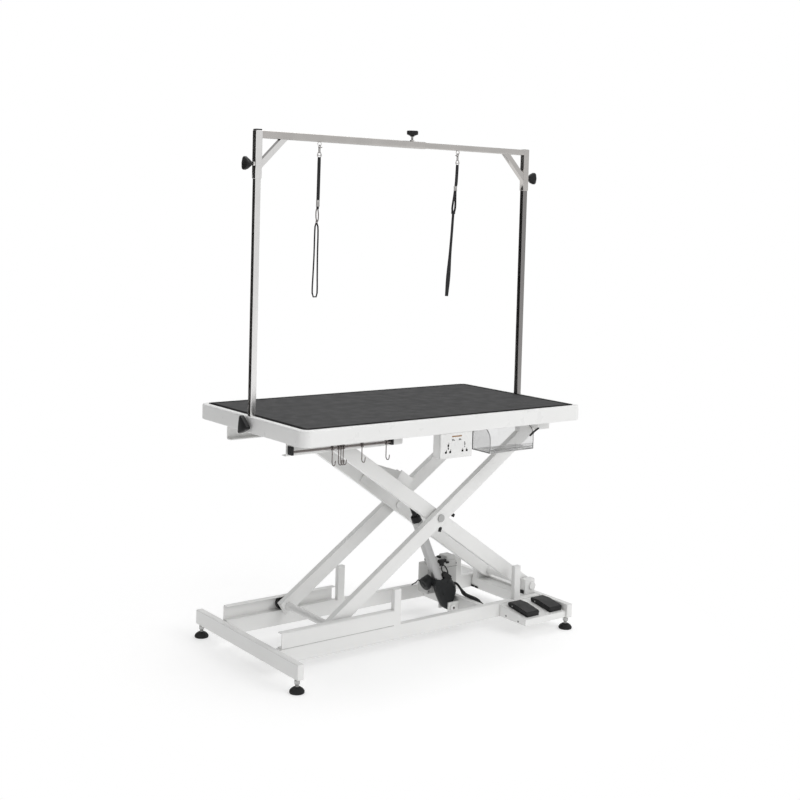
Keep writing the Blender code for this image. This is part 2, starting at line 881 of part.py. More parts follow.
def shaft(name, at, parent, half, steps):
    """A pin from -half to half along Y, with thicker lengths (from, to, radius)."""
    made = link(rod(PIN_R, (at[0], -half, at[1]), 2 * half, "Y"), name, "zinc_steel", parent)
    fuse(made, [rod(r, (at[0], a, at[1]), b - a, "Y") for a, b, r in steps])


shaft("lower_pivot_shaft", lower_right, "inner_frame", lug_out + 0.002, (
    (-inner_in, inner_in, SPACER_R),
    (-lug_out - 0.0045, -lug_out - GAP, 0.0145),
    (lug_out + GAP, lug_out + 0.0045, 0.0145),
))
shaft("inner_roller_axle", upper_left, "inner_frame", roller_far, (
    (-roller_near + GAP, -inner_out, 0.011),
    (inner_out, roller_near - GAP, 0.011),
))
shaft("outer_roller_axle", lower_left, "outer_frame", roller_far, (
    (-outer_in, outer_in, SPACER_R),
    (-roller_near + GAP, -outer_out, 0.011),
    (outer_out, roller_near - GAP, 0.011),
))
shaft("upper_pivot_shaft", upper_right, "outer_frame", RAIL_OUT - 0.001, (
    (-outer_in, outer_in, SPACER_R),
))

for side, place in ((-1, "front"), (1, "rear")):
    low, high = sorted((side * (inner_in - 0.006), side * (outer_out + 0.004)))
    bolt = link(rod(BOLT_R, (MID_X, low, MID_Z), high - low, "Y"), f"centre_bolt_{place}", "zinc_steel", "inner_frame")
    heads = []
    for a, b in ((outer_out, outer_out + 0.0045), (inner_in - 0.0065, inner_in)):
        a, b = sorted((side * a, side * b))
        heads.append(rod(0.0135, (MID_X, a, MID_Z), b - a, "Y"))
    fuse(bolt, heads)

for place, end, parent in (("lower", lower_left, "outer_frame"), ("upper", upper_left, "inner_frame")):
    for side, depth in ((-1, "front"), (1, "rear")):
        low, high = sorted((side * roller_near, side * roller_far))
        name = f"roller_{place}_{depth}"
        pivot(f"{name}_axis", (end[0], (low + high) / 2, end[1]), parent)
        wheel = link(
            lathe(
                (
                    (0, low),
                    (ROLLER_R - 0.001, low),
                    (ROLLER_R, low + 0.001),
                    (ROLLER_R, high - 0.001),
                    (ROLLER_R - 0.001, high),
                    (0, high),
                ),
                (end[0], 0, end[1]),
                28,
                "Y",
            ),
            name,
            "black_plastic",
            f"{name}_axis",
        )
        cut(wheel, [rod(PIN_R + GAP, (end[0], low - 0.005, end[1]), high - low + 0.010, "Y")])

# Cross beam of the inner arms, with the actuator's upper lugs and pin


def on_inner(points):
    return [along_inner(a, b) for a, b in points]


def arm_box(a0, a1, b0, b1):
    return on_inner(((a0, b0), (a1, b0), (a1, b1), (a0, b1)))


plate_out = inner_in
plate_in = plate_out - 0.006
a0, a1 = CROSS_ALONG - 0.020, CROSS_ALONG + 0.020
b0, b1 = CROSS_ABOVE - 0.015, CROSS_ABOVE + 0.015
beam = link(
    prism(arm_box(a0, a1, b0, b1), -plate_in - 0.003, plate_in + 0.003, "Y"),
    "inner_cross_beam",
    "white_paint",
    "inner_frame",
)
plates = []
for side in (-1, 1):
    low, high = sorted((side * plate_in, side * plate_out))
    plates.append(prism(arm_box(a0 - 0.010, a1 + 0.010, -0.015, b1 + 0.002), low, high, "Y"))
for y in (ACT_Y - 0.0205, ACT_Y + 0.0145):
    plates.append(
        prism(
            arm_box(ACT_ALONG - 0.015, a0 + 0.002, ACT_ABOVE - 0.0165, ACT_ABOVE + 0.0145),
            y,
            y + 0.006,
            "Y",
        )
    )
eye_pin = rod(ACT_EYE_PIN_R, (EYE_X, ACT_Y - 0.0205, EYE_Z), 0.041, "Y")
cut(beam, [prism(arm_box(a0 + 0.0025, a1 - 0.0025, b0 - 0.02, b1 - 0.0025), 0.002 - plate_in, plate_in - 0.002, "Y")])
fuse(beam, plates + [eye_pin])

# Actuator: gear housing with motor, outer tube with end cap, and rod


def on_act(points):
    """World (x, z) of points given along and to the left of the actuator's axis."""
    left = Vector((-ACT_DIR.z, 0, ACT_DIR.x))
    made = []
    for along, across in points:
        p = ACT_LOW + ACT_DIR * along + left * across
        made.append((p.x, p.z))
    return made


act_left = Vector((-ACT_DIR.z, 0, ACT_DIR.x))


def across_act(outline, along):
    """Points of an outline given to the left of the actuator's axis and along Y, at a place on it."""
    at = ACT_LOW + ACT_DIR * along
    return [(at.x + act_left.x * u, ACT_Y + v, at.z + act_left.z * u) for u, v in outline]


# Gear case: rounded sections given as place on the axis, right and left side, half depth, corner
CASE = (
    (-0.0125, -0.0080, 0.0070, 0.0165, 0.006),
    (-0.0060, -0.0130, 0.0120, 0.0205, 0.010),
    (0.0050, -0.0175, 0.0200, ACT_HALF, 0.014),
    (0.0230, -0.0400, 0.0235, ACT_HALF, 0.018),
    (0.0370, -0.0520, 0.0247, ACT_HALF, 0.018),
    (0.0560, -0.0556, 0.0253, ACT_HALF, 0.018),
    (0.0780, -0.0530, 0.0247, ACT_HALF, 0.018),
    (0.1010, -0.0445, 0.0228, ACT_HALF, 0.018),
    (ACT_TUBE_START - 0.0008, -0.0340, 0.0195, ACT_HALF - 0.003, 0.016),
)
sections = []
for along, low, high, deep, corner in CASE:
    sections.append(across_act(rounded(high - low, 2 * deep, corner, 3, (low + high) / 2), along))
housing = link(stack(sections), "actuator_housing", "black_plastic", "actuator")
motor_x, motor_z = on_act(((MOTOR_ALONG, ACT_TUBE / 2 + 0.0012),))[0]
motor_at = (motor_x, ACT_Y + MOTOR_BEHIND, motor_z)
fuse(housing, [rod(MOTOR_R, motor_at, MOTOR_REACH - ACT_TUBE / 2 - 0.0012, act_left, 18)])
cut(housing, [rod(ACT_PIN_R + GAP, (ACT_LOW_X, ACT_Y - 0.05, ACT_LOW_Z), 0.1, "Y")])

half = ACT_TUBE / 2
bevel = 0.005


def oval(u, v, sides=20):
    """A slot outline: half length u, and round ends of radius v."""
    made = []
    for i in range(sides):
        a = 2 * math.pi * i / sides
        shift = 0 if 4 * i % (2 * sides) == sides else math.copysign(u - v, math.cos(a))
        made.append((shift + v * math.cos(a), v * math.sin(a)))
    return made


outline = (
    (half, half - bevel), (half - bevel, half), (-half + bevel, half), (-half, half - bevel),
    (-half, -half + bevel), (-half + bevel, -half), (half - bevel, -half), (half, -half + bevel),
)
barrel = link(
    stack([across_act(outline, place) for place in (ACT_TUBE_START, ACT_TUBE_END)]),
    "actuator_tube",
    "grey_metal",
    "actuator",
)
nose = (
    (ACT_TUBE_END - 0.002, NOSE_R - 0.001),
    (ACT_TUBE_END - 0.001, NOSE_R),
    (ACT_CAP_END - 0.003, NOSE_R),
    (ACT_CAP_END, NOSE_R - 0.003),
)
fuse(barrel, [stack([across_act(oval(r, r), place) for place, r in nose])])
bore_x, bore_z = on_act(((ACT_TUBE_START + 0.005, 0),))[0]
bore_length = ACT_TUBE_END + 0.005 - ACT_TUBE_START - 0.005
slot = oval(ROD_R + NOSE_PLAY, ROD_R + GAP)
cut(
    barrel,
    [
        rod(ACT_BORE_R, (bore_x, ACT_Y, bore_z), bore_length, ACT_DIR, 24),
        stack([across_act(slot, place) for place in (ACT_TUBE_END - 0.01, ACT_CAP_END + 0.01)]),
    ],
)

shank = link(
    rod(ROD_R, (EYE_X, ACT_Y, EYE_Z), ROD_LENGTH, -ACT_DIR, 16),
    "actuator_rod",
    "zinc_steel",
    "rod",
)
fuse(shank, [rod(0.0125, (EYE_X, ACT_Y - 0.013, EYE_Z), 0.026, "Y", 20)])
cut(shank, [rod(ACT_EYE_PIN_R + GAP, (EYE_X, ACT_Y - 0.02, EYE_Z), 0.04, "Y")])

# Tabletop pan with post sockets, and the rubber mat

edge = [(SKIRT_Z, 0.0012), (SKIRT_Z + 0.0012, 0)]
for k in range(4):
    a = math.pi / 2 * k / 3
    edge.append((TOP_Z - TOP_EDGE * (1 - math.sin(a)), TOP_EDGE * (1 - math.cos(a))))
sections = []
for z, inset in edge:
    outline = rounded(TOP_LENGTH - 2 * inset, TOP_DEPTH - 2 * inset, TOP_CORNER - inset)
    sections.append([(x, y, z) for x, y in outline])
pan = link(
    stack(sections),
    "tabletop",
    "white_paint",
    "top",
)
cut(
    pan,
    [
        prism(rounded(TOP_LENGTH - 2 * SHEET, TOP_DEPTH - 2 * SHEET, TOP_CORNER - SHEET), SKIRT_Z - 0.01, PLATE_Z),
        prism(rounded(TOP_LENGTH - 2 * RIM, TOP_DEPTH - 2 * RIM, MAT_CORNER), PLATE_TOP, TOP_Z + 0.01),
    ],
)
socket_half = SLEEVE_BORE / 2 + SHEET - 0.0004
sockets = []
bores = []
for side in (-1, 1):
    x = side * POST_X
    sockets.append(
        box((x - socket_half, -socket_half, POST_BOTTOM - SHEET), (x + socket_half, socket_half, TOP_Z - 0.001))
    )
    bores.append(box((x - SLEEVE_BORE / 2, -SLEEVE_BORE / 2, POST_BOTTOM - GAP), (x + SLEEVE_BORE / 2, SLEEVE_BORE / 2, TOP_Z + 0.01)))
    bores.append(rod(CLAMP_R + GAP, (x if side > 0 else x - 0.03, 0, TOP_KNOB_Z), 0.03, "X", 14))
fuse(pan, sockets)
cut(pan, bores)

mat = link(
    prism(
        rounded(TOP_LENGTH - 2 * RIM - 2 * GAP, TOP_DEPTH - 2 * RIM - 2 * GAP, MAT_CORNER),
        PLATE_TOP + GAP,
        TOP_Z + MAT_PROUD,
    ),
    "rubber_mat",
    "black_rubber",
    "top",
)
notch = socket_half + 0.0006
cut(
    mat,
    [
        box((POST_X - notch, -notch, PLATE_TOP - 0.01), (TOP_LENGTH / 2, notch, TOP_Z + 0.01)),
        box((-TOP_LENGTH / 2, -notch, PLATE_TOP - 0.01), (notch - POST_X, notch, TOP_Z + 0.01)),
    ],
)

# Underframe of the tabletop: rails, cross members, roller channels, pivot lugs, stop pads

under_top = PLATE_Z - GAP
channel_low = UPPER_Z - CHANNEL_HALF
channel_high = UPPER_Z + CHANNEL_HALF
frame_members = []
frame_holes = []
for side in (-1, 1):
    low, high = sorted((side * RAIL_IN, side * RAIL_OUT))
    low_c, high_c = sorted((side * (RAIL_IN - 0.01), side * (RAIL_OUT - TUBE_WALL)))
    frame_members.append(box((CHANNEL_LEFT - 0.010, low, channel_high - 0.001), (PIVOT_X + 0.035, high, under_top)))
    frame_members.append(
        channel(
            side * RAIL_OUT,
            side * RAIL_IN,
            channel_low,
            channel_high,
            (channel_low,),
            CHANNEL_LEFT if side < 0 else CHANNEL_LEFT - CHANNEL_REAR_MORE,
            UPPER_CHANNEL_RIGHT,
        )
    )
    half = STOP_W / 2
    frame_members.append(box((STOP_RIGHT_X - half, low, channel_low), (STOP_RIGHT_X + half, high, channel_high)))
    lug_low, lug_high = sorted((side * (outer_out + 0.003), side * RAIL_OUT))
    frame_members.append(box((PIVOT_X - 0.028, lug_low, channel_low), (PIVOT_X + 0.030, lug_high, channel_high)))
    frame_holes.append(box((CHANNEL_LEFT - 0.02, low_c, channel_high + 0.001), (PIVOT_X + 0.05, high_c, under_top - TUBE_WALL)))
    low_s, high_s = sorted((side * (RAIL_IN - 0.01), side * (RAIL_OUT - CHANNEL_WALL)))
    frame_holes.append(
        box(
            (CHANNEL_LEFT - 0.02, low_s, UPPER_Z - ROLLER_R - ROLLER_PLAY),
            (UPPER_CHANNEL_RIGHT + 0.01, high_s, UPPER_Z + ROLLER_R + ROLLER_PLAY),
        )
    )
    frame_holes.append(rod(PIN_R + GAP, (PIVOT_X, lug_low - 0.005, UPPER_Z), lug_high - lug_low + 0.010, "Y"))
under = link(frame_members[0], "top_underframe", "white_paint", "top")
fuse(under, frame_members[1:4] + frame_members[4:])
cut(under, frame_holes)
members = []
grooves = []
for x in (CHANNEL_LEFT + 0.094, 0.0, PIVOT_X - 0.073):
    members.append(box((x - 0.0125, -RAIL_OUT + 0.001, channel_high + 0.008), (x + 0.0125, RAIL_OUT - 0.001, under_top)))
    grooves.append(box((x - 0.0105, -RAIL_IN + 0.01, channel_high + 0.010), (x + 0.0105, RAIL_IN - 0.01, under_top + 0.01)))
fuse(under, members)
cut(under, grooves)

# Hook rail and hooks

rail_ends = (HOOK_RAIL_X, HOOK_RAIL_X + HOOK_RAIL_LENGTH)
hook_rail = link(
    rod(HOOK_RAIL_R, (rail_ends[0], HOOK_RAIL_Y, HOOK_RAIL_Z), rail_ends[1] - rail_ends[0], "X", 12),
    "hook_rail",
    "stainless",
    "top",
)
fuse(
    hook_rail,
    [
        box((x, HOOK_RAIL_Y - 0.007, HOOK_RAIL_Z - 0.010), (x + 0.009, -RAIL_OUT - GAP, HOOK_RAIL_Z + 0.018), 0.001)
        for x in (rail_ends[0] - 0.003, rail_ends[1] - 0.006)
    ],
)
for i, x in enumerate(HOOK_XS, 1):
    pivot(f"hook_{i}_axis", (x, HOOK_RAIL_Y, HOOK_RAIL_Z), "top")
    bend = 0.009
    drop = 0.048
    path = [(x, HOOK_RAIL_Y, HOOK_RAIL_Z - 0.0065), (x, HOOK_RAIL_Y, HOOK_RAIL_Z - 0.026)]
    for k in range(8):
        a = math.pi * k / 7
        path.append(
            (x, HOOK_RAIL_Y - bend + bend * math.cos(a), HOOK_RAIL_Z - drop - bend * math.sin(a))
        )
    path.append((x, HOOK_RAIL_Y - 2 * bend - 0.0015, HOOK_RAIL_Z - drop + 0.009))
    hook = link(tube(path, 0.0017), f"hook_{i}", "stainless", f"hook_{i}_axis")
    fuse(hook, [rod(0.0078, (x - 0.0028, HOOK_RAIL_Y, HOOK_RAIL_Z), 0.0056, "X", 12)])
    cut(hook, [rod(HOOK_RAIL_R + GAP, (x - 0.01, HOOK_RAIL_Y, HOOK_RAIL_Z), 0.02, "X", 12)])

# Socket box with its plate

box_left, box_right = SOCKET_LEFT, SOCKET_LEFT + SOCKET_LENGTH
box_high = SKIRT_Z - GAP
box_low = box_high - SOCKET_HEIGHT
plate_front = -TOP_DEPTH / 2 + 0.001
plate_back = plate_front + SOCKET_PLATE
box_back = plate_front + SOCKET_DEPTH
case = link(
    box((box_left, plate_back + GAP, box_low), (box_right, box_back, box_high), 0.002),
    "socket_box",
    "white_plastic",
    "top",
)
cut(
    case,
    [box((box_left + 0.003, plate_back - 0.005, box_low + 0.003), (box_right - 0.003, box_back - 0.003, box_high - 0.003))],
)
plate = link(
    box((box_left, plate_front, box_low), (box_right, plate_back, box_high), 0.002),
    "socket_plate",
    "white_plastic",
    "top",
)
slots = []
for x in (box_left + 0.034, box_right - 0.034):
    z = box_low + 0.036
    for sx, sz, w, h in ((0, 0.013, 0.0038, 0.009), (-0.009, -0.009, 0.0038, 0.0065), (0.009, -0.009, 0.0038, 0.0065)):
        slots.append(
            box(
                (x + sx - w / 2, plate_front - 0.005, z + sz - h / 2),
                (x + sx + w / 2, plate_front + 0.0055, z + sz + h / 2),
            )
        )
for x in ((box_left + box_right) / 2 - 0.014, (box_left + box_right) / 2 + 0.014):
    slots.append(
        box((x - 0.006, plate_front - 0.005, box_high - 0.026), (x + 0.006, plate_front + 0.0055, box_high - 0.0225))
    )
cut(plate, slots)

# Clear tool tray: floor, back, two sides and a low front lip

bin_left, bin_right = TRAY_LEFT, TRAY_LEFT + TRAY_LENGTH
bin_front = TRAY_INSET - TOP_DEPTH / 2
bin_back = bin_front + TRAY_DEPTH
bin_high = SKIRT_Z - GAP
bin_low = bin_high - TRAY_HEIGHT
side_outline = [(bin_back, bin_low), (bin_back, bin_high), (bin_front + TRAY_CORNER, bin_high)]
for k in range(1, 7):
    a = math.pi / 2 * k / 6
    side_outline.append(
        (
            bin_front + TRAY_CORNER * (1 - math.sin(a)),
            bin_high - TRAY_CORNER * (1 - math.cos(a)),
        )
    )
side_outline.append((bin_front, bin_low))
holder = link(prism(side_outline, bin_left, bin_right, "X"), "tool_tray", "clear_acrylic", "top")
cut(
    holder,
    [
        box(
            (bin_left + ACRYLIC, bin_front + ACRYLIC, bin_low + ACRYLIC),
            (bin_right - ACRYLIC, bin_back - ACRYLIC, bin_high + 0.01),
        ),
        box(
            (bin_left + ACRYLIC, bin_front - 0.01, bin_low + 0.020),
            (bin_right - ACRYLIC, bin_front + 0.01, bin_high + 0.01),
        ),
    ],
)
fuse(
    holder,
    [
        box((bin_left, bin_back - ACRYLIC, bin_high - 0.004), (bin_right, bin_back, under_top)),
        box((bin_left, bin_back - 0.001, under_top - ACRYLIC), (bin_right, bin_back + 0.022, under_top)),
    ],
)

# Arch: posts, sleeves with crossbars, clamp knobs

for side, place in ((-1, "left"), (1, "right")):
    x = side * POST_X
    post = link(
        box((x - POST / 2, -POST / 2, POST_BOTTOM), (x + POST / 2, POST / 2, POST_TIP), 0.002),
        f"post_{place}",
        "stainless",
        "top",
    )
    inner = POST / 2 - 0.0015
    cut(post, [box((x - inner, -inner, POST_BOTTOM - 0.01), (x + inner, inner, POST_TIP + 0.01))])

half = SLEEVE / 2
bore = SLEEVE_BORE / 2
slim = POST / 2
slim_in = slim - 0.0015
for side, place in ((-1, "left"), (1, "right")):
    x = side * POST_X
    sleeve = link(
        box((x - half, -half, SLEEVE_BOTTOM), (x + half, half, BAR_HIGH), 0.002),
        f"arch_{place}",
        "stainless",
        "arch",
    )
    low = BAR_LOW if side < 0 else BAR_Z - slim
    face = x - side * (half - 0.001)
    wide = STRUT * math.sqrt(2)
    strut = [
        (face, low - STRUT_LEG),
        (face, low - STRUT_LEG - wide),
        (face - side * (STRUT_LEG + wide + 0.001), low + 0.001),
        (face - side * (STRUT_LEG + 0.001), low + 0.001),
    ]
    adds = [prism(strut, -STRUT / 2, STRUT / 2, "Y")]
    if side < 0:
        adds.append(box((x, -half, BAR_LOW), (BAR_STEP_X, half, BAR_HIGH), 0.002))
        adds.append(box((x - 0.0115, -0.0115, BAR_HIGH - 0.002), (x + 0.0115, 0.0115, BAR_HIGH + 0.0045), 0.002))
        adds.append(rod(0.008, (BAR_KNOB_X, 0, BAR_HIGH - 0.001), 0.005, "Z", 6))
        eye_x, eye_z = NOOSE_LEFT_X, BAR_LOW
    else:
        adds.append(box((BAR_STEP_X - 0.11, -slim, BAR_Z - slim), (x, slim, BAR_Z + slim), 0.002))
        eye_x, eye_z = NOOSE_RIGHT_X, BAR_Z - slim
    nut_x = x + side * (half - 0.001) if side > 0 else x + side * (half + 0.004)
    adds.append(rod(0.007, (nut_x, 0, SLEEVE_KNOB_Z), 0.005, "X", 6))
    adds.append(ring((eye_x, 0, eye_z - EYE_R + 0.0008), EYE_R, WIRE_R))
    fuse(sleeve, adds)
    takes = [box((x - bore, -bore, SLEEVE_BOTTOM - 0.01), (x + bore, bore, BAR_LOW - 0.002))]
    if side < 0:
        takes.append(box((x + half + 0.004, -bore, BAR_Z - bore), (BAR_STEP_X + 0.01, bore, BAR_Z + bore)))
        takes.append(rod(CLAMP_R + GAP, (BAR_KNOB_X, 0, BAR_Z), 0.03, "Z", 14))
        takes.append(rod(CLAMP_R + GAP, (x - 0.03, 0, SLEEVE_KNOB_Z), 0.03, "X", 14))
    else:
        takes.append(box((BAR_STEP_X - 0.12, -slim_in, BAR_Z - slim_in), (x - half - 0.004, slim_in, BAR_Z + slim_in)))
        takes.append(rod(CLAMP_R + GAP, (x, 0, SLEEVE_KNOB_Z), 0.03, "X", 14))
    cut(sleeve, takes)


def lobed(radius, wave, count=24):
    """Outline of a three-lobed hand knob."""
    outline = []
    for i in range(count):
        a = 2 * math.pi * i / count
        r = radius - wave * math.cos(3 * a)
        outline.append((r * math.cos(a), r * math.sin(a)))
    return outline


def knob(name, face, tip, axis, sign, rings, parent):
    """A clamp knob: a head given as (height, radius, wave) rings, and a stud that runs in to its tip."""
    pivot(f"{name}_axis", face, parent)
    turn = AXES[axis] if sign > 0 else AXES[axis] @ Matrix.Rotation(math.pi, 4, "X")
    place = Matrix.Translation(face) @ turn
    sections = []
    for height, radius, wave in rings:
        sections.append([place @ Vector((u, v, height)) for u, v in lobed(radius, wave)])
    head = link(stack(sections, name), name, "black_plastic", f"{name}_axis")
    out = (place.to_3x3() @ Vector((0, 0, 1))).normalized()
    start = Vector(face) - out * tip
    fuse(head, [rod(CLAMP_R, start, tip + rings[0][0] + 0.003, out, 12)])


TABLE_KNOB = (
    (0.0030, 0.0120, 0.001), (0.0065, 0.0240, 0.0055), (0.0095, 0.0272, 0.0070), (0.0195, 0.0272, 0.0070),
    (0.0240, 0.0205, 0.0050),
)
SLEEVE_KNOB = (
    (0.0050, 0.0050, 0.0), (0.0070, 0.0062, 0.0), (0.0165, 0.0170, 0.002), (0.0185, 0.0198, 0.003),
    (0.0250, 0.0198, 0.003), (0.0275, 0.0165, 0.003),
)
BAR_KNOB = (
    (0.0165, 0.0062, 0.0), (0.0190, 0.0075, 0.0), (0.0225, 0.0155, 0.001), (0.0238, 0.0193, 0.002),
    (0.0350, 0.0198, 0.002), (0.0372, 0.0170, 0.002),
)
table_tip = TOP_LENGTH / 2 - POST_X - POST / 2 - GAP
knob("table_knob_left", (-TOP_LENGTH / 2, 0, TOP_KNOB_Z), table_tip, "X", -1, TABLE_KNOB, "top")
knob("table_knob_right", (TOP_LENGTH / 2, 0, TOP_KNOB_Z), table_tip, "X", 1, TABLE_KNOB, "top")
sleeve_tip = half - POST / 2 - GAP
knob("sleeve_knob_left", (-POST_X - half, 0, SLEEVE_KNOB_Z), sleeve_tip, "X", -1, SLEEVE_KNOB, "arch")
knob("sleeve_knob_right", (POST_X + half, 0, SLEEVE_KNOB_Z), sleeve_tip, "X", 1, SLEEVE_KNOB, "arch")
knob("bar_knob", (BAR_KNOB_X, 0, BAR_HIGH), half - slim - GAP, "Z", 1, BAR_KNOB, "arch")

# Nooses: a snap with a ring hangs in each eyelet, and the strap hangs from the ring

for place, x, eye_z in (("left", NOOSE_LEFT_X, BAR_LOW), ("right", NOOSE_RIGHT_X, BAR_Z - slim)):
    eye_low = eye_z - 2 * EYE_R + 0.0008
    pivot(f"noose_{place}_axis", (x, 0, eye_low), "arch")
    top_ring = eye_low + 2 * WIRE_R + GAP - 0.0055
    low_ring = top_ring - 0.0055 - 0.012 - 0.0065
    snap = link(
        ring((x, 0, top_ring), 0.0055, WIRE_R, "X", 16),
        f"noose_snap_{place}",
        "stainless",
        f"noose_{place}_axis",
    )
    fuse(
        snap,
        [
            rod(0.0038, (x, 0, low_ring + 0.0060), 0.0128, "Z", 12),
            ring((x, 0, low_ring), 0.0065, 0.0014, "Y", 16),
        ],
    )
    strap_top = low_ring - 0.0065 + 0.0014 + GAP + CORD_R
    eye = ring((x, 0, strap_top - 0.0055), 0.0055, 0.0028, "X", 16)
    if place == "left":
        z_link, z_loop, z_end = BAR_Z - 0.234, BAR_Z - 0.283, BAR_Z - 0.536
        strap = link(
            tube(
                [
                    (x, 0, strap_top - 0.010),
                    (x - 0.0005, 0, BAR_Z - 0.131),
                    (x - 0.001, 0, BAR_Z - 0.196),
                    (x - 0.002, 0, z_link),
                    (x - 0.005, 0, z_loop),
                ],
                CORD_R,
            ),
            "noose_strap_left",
            "black_webbing",
            "noose_left_axis",
        )
        loop = []
        for k in range(12):
            a = math.pi * k / 11
            loop.append((x - 0.005 + 0.0105 * math.cos(a), 0, z_loop - 0.0105 + 0.0105 * math.sin(a)))
        for k in range(1, 6):
            loop.append((x - 0.0155, 0, z_loop - 0.0105 + (z_end - z_loop + 0.021) * k / 6))
        for k in range(12):
            a = math.pi + math.pi * k / 11
            loop.append((x - 0.005 + 0.0105 * math.cos(a), 0, z_end + 0.0105 + 0.0105 * math.sin(a)))
        for k in range(5, 0, -1):
            loop.append((x + 0.0055, 0, z_loop - 0.0105 + (z_end - z_loop + 0.021) * k / 6))
        fuse(
            strap,
            [
                eye,
                tube(loop, CORD_R, closed=True),
                rod(0.0058, (x - 0.001, 0, BAR_Z - 0.207), 0.012, "Z", 12),
                rod(0.0055, (x - 0.0025, 0, z_loop + 0.010), z_link - z_loop - 0.010, "Z", 12),
            ],
        )
    else:
        strap = link(
            tube(
                [
                    (x, 0, strap_top - 0.010),
                    (x - 0.003, 0, BAR_Z - 0.130),
                    (x - 0.007, 0, BAR_Z - 0.153),
                    (x - 0.010, 0, BAR_Z - 0.191),
                    (x - 0.013, 0, BAR_Z - 0.234),
                    (x - 0.017, 0, BAR_Z - 0.311),
                    (x - 0.022, 0, BAR_Z - 0.385),
                    (x - 0.027, 0, BAR_Z - 0.461),
                    (x - 0.033, 0, BAR_Z - 0.540),
                ],
                CORD_R,
            ),
            "noose_strap_right",
            "black_webbing",
            "noose_right_axis",
        )
        fuse(
            strap,
            [
                eye,
                rod(0.0055, (x - 0.0065, 0, BAR_Z - 0.151), 0.011, "Z", 12),
                rod(0.0058, (x - 0.0129, 0, BAR_Z - 0.239), 0.010, "Z", 12),
            ],
        )

# Lead from the actuator along the cross tube to the front rail

LEAD_R = 0.0045
lead_z = BEAM_TOP + GAP + LEAD_R
start_x, start_z = on_act(((CASE[5][0], CASE[5][1] - 0.0010),))[0]
link(
    tube(
        [
            (start_x, ACT_Y, start_z),
            (start_x + 0.0066, ACT_Y - 0.0005, start_z + 0.0030),
            (start_x + 0.0130, ACT_Y - 0.008, start_z - 0.0020),
            (start_x + 0.0170, ACT_Y - 0.024, start_z - 0.0165),
            (start_x + 0.0210, ACT_Y - 0.041, lead_z + 0.0070),
            (start_x + 0.0270, ACT_Y - 0.063, lead_z + 0.0022),
            (start_x + 0.0330, ACT_Y - 0.085, lead_z - 0.0010),
            (start_x + 0.0380, ACT_Y - 0.108, lead_z - 0.0085),
            (start_x + 0.0395, -RAIL_IN + 0.0030, lead_z - 0.0180),
        ],
        LEAD_R,
    ),
    "actuator_lead",
    "black_rubber",
    "base",
)
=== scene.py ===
import json
import math

import bmesh
import bpy
from mathutils import Matrix, Vector

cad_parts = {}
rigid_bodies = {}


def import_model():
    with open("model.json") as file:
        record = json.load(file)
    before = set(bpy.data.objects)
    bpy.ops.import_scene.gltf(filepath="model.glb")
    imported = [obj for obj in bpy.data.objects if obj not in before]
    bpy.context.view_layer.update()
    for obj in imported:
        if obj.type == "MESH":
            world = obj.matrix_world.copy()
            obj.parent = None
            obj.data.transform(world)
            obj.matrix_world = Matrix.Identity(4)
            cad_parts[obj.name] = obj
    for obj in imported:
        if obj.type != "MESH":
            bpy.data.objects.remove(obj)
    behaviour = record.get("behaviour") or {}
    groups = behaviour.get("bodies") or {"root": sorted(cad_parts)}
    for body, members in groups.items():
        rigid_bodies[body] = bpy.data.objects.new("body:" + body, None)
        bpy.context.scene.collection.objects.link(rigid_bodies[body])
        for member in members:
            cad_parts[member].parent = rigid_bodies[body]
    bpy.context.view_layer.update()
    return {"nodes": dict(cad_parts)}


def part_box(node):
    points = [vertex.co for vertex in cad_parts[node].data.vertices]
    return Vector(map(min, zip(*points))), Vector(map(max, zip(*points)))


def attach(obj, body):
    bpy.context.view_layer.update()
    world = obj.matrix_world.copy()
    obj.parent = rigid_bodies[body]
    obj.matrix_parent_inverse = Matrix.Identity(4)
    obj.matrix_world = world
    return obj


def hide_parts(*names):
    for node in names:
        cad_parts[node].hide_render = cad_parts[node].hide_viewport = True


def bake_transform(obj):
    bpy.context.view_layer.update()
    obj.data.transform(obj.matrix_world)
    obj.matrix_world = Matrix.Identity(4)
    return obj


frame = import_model()
nodes = frame["nodes"]
scene = bpy.context.scene

for old in list(bpy.data.objects):
    if old.name in ("Cube", "Light", "Camera"):
        bpy.data.objects.remove(old, do_unlink=True)

scene.view_settings.view_transform = "Standard"

# Camera at the photograph's viewing angle

EYE = (-2.6949, -3.5741, 1.4878)
YAW = math.radians(-37.102)
PITCH = math.radians(2.99)
ROLL = math.radians(1.564)
ahead = Vector((-math.sin(YAW) * math.cos(PITCH), math.cos(YAW) * math.cos(PITCH), -math.sin(PITCH)))
right = Vector((math.cos(YAW), math.sin(YAW), 0))
up = right.cross(ahead)
right, up = right * math.cos(ROLL) + up * math.sin(ROLL), up * math.cos(ROLL) - right * math.sin(ROLL)
camera = bpy.data.objects.new("camera", bpy.data.cameras.new("camera"))
scene.collection.objects.link(camera)
camera.matrix_world = Matrix((
    (right.x, up.x, -ahead.x, EYE[0]),
    (right.y, up.y, -ahead.y, EYE[1]),
    (right.z, up.z, -ahead.z, EYE[2]),
    (0, 0, 0, 1),
))
camera.data.sensor_width = 36.0
camera.data.lens = 57.11
camera.data.shift_y = -0.1467
camera.data.clip_end = 60
scene.camera = camera

# Materials: every one is procedural, in the metres of the frame

looks = {}


def add_node(tree, kind, inputs=(), **settings):
    """Adds a node; each of its inputs is a constant or another node's output."""
    made = tree.nodes.new(kind)
    for key, value in settings.items():
        setattr(made, key, value)
    for key, value in dict(inputs).items():
        if isinstance(value, bpy.types.NodeSocket):
            tree.links.new(value, made.inputs[key])
        else:
            made.inputs[key].default_value = value
    return made


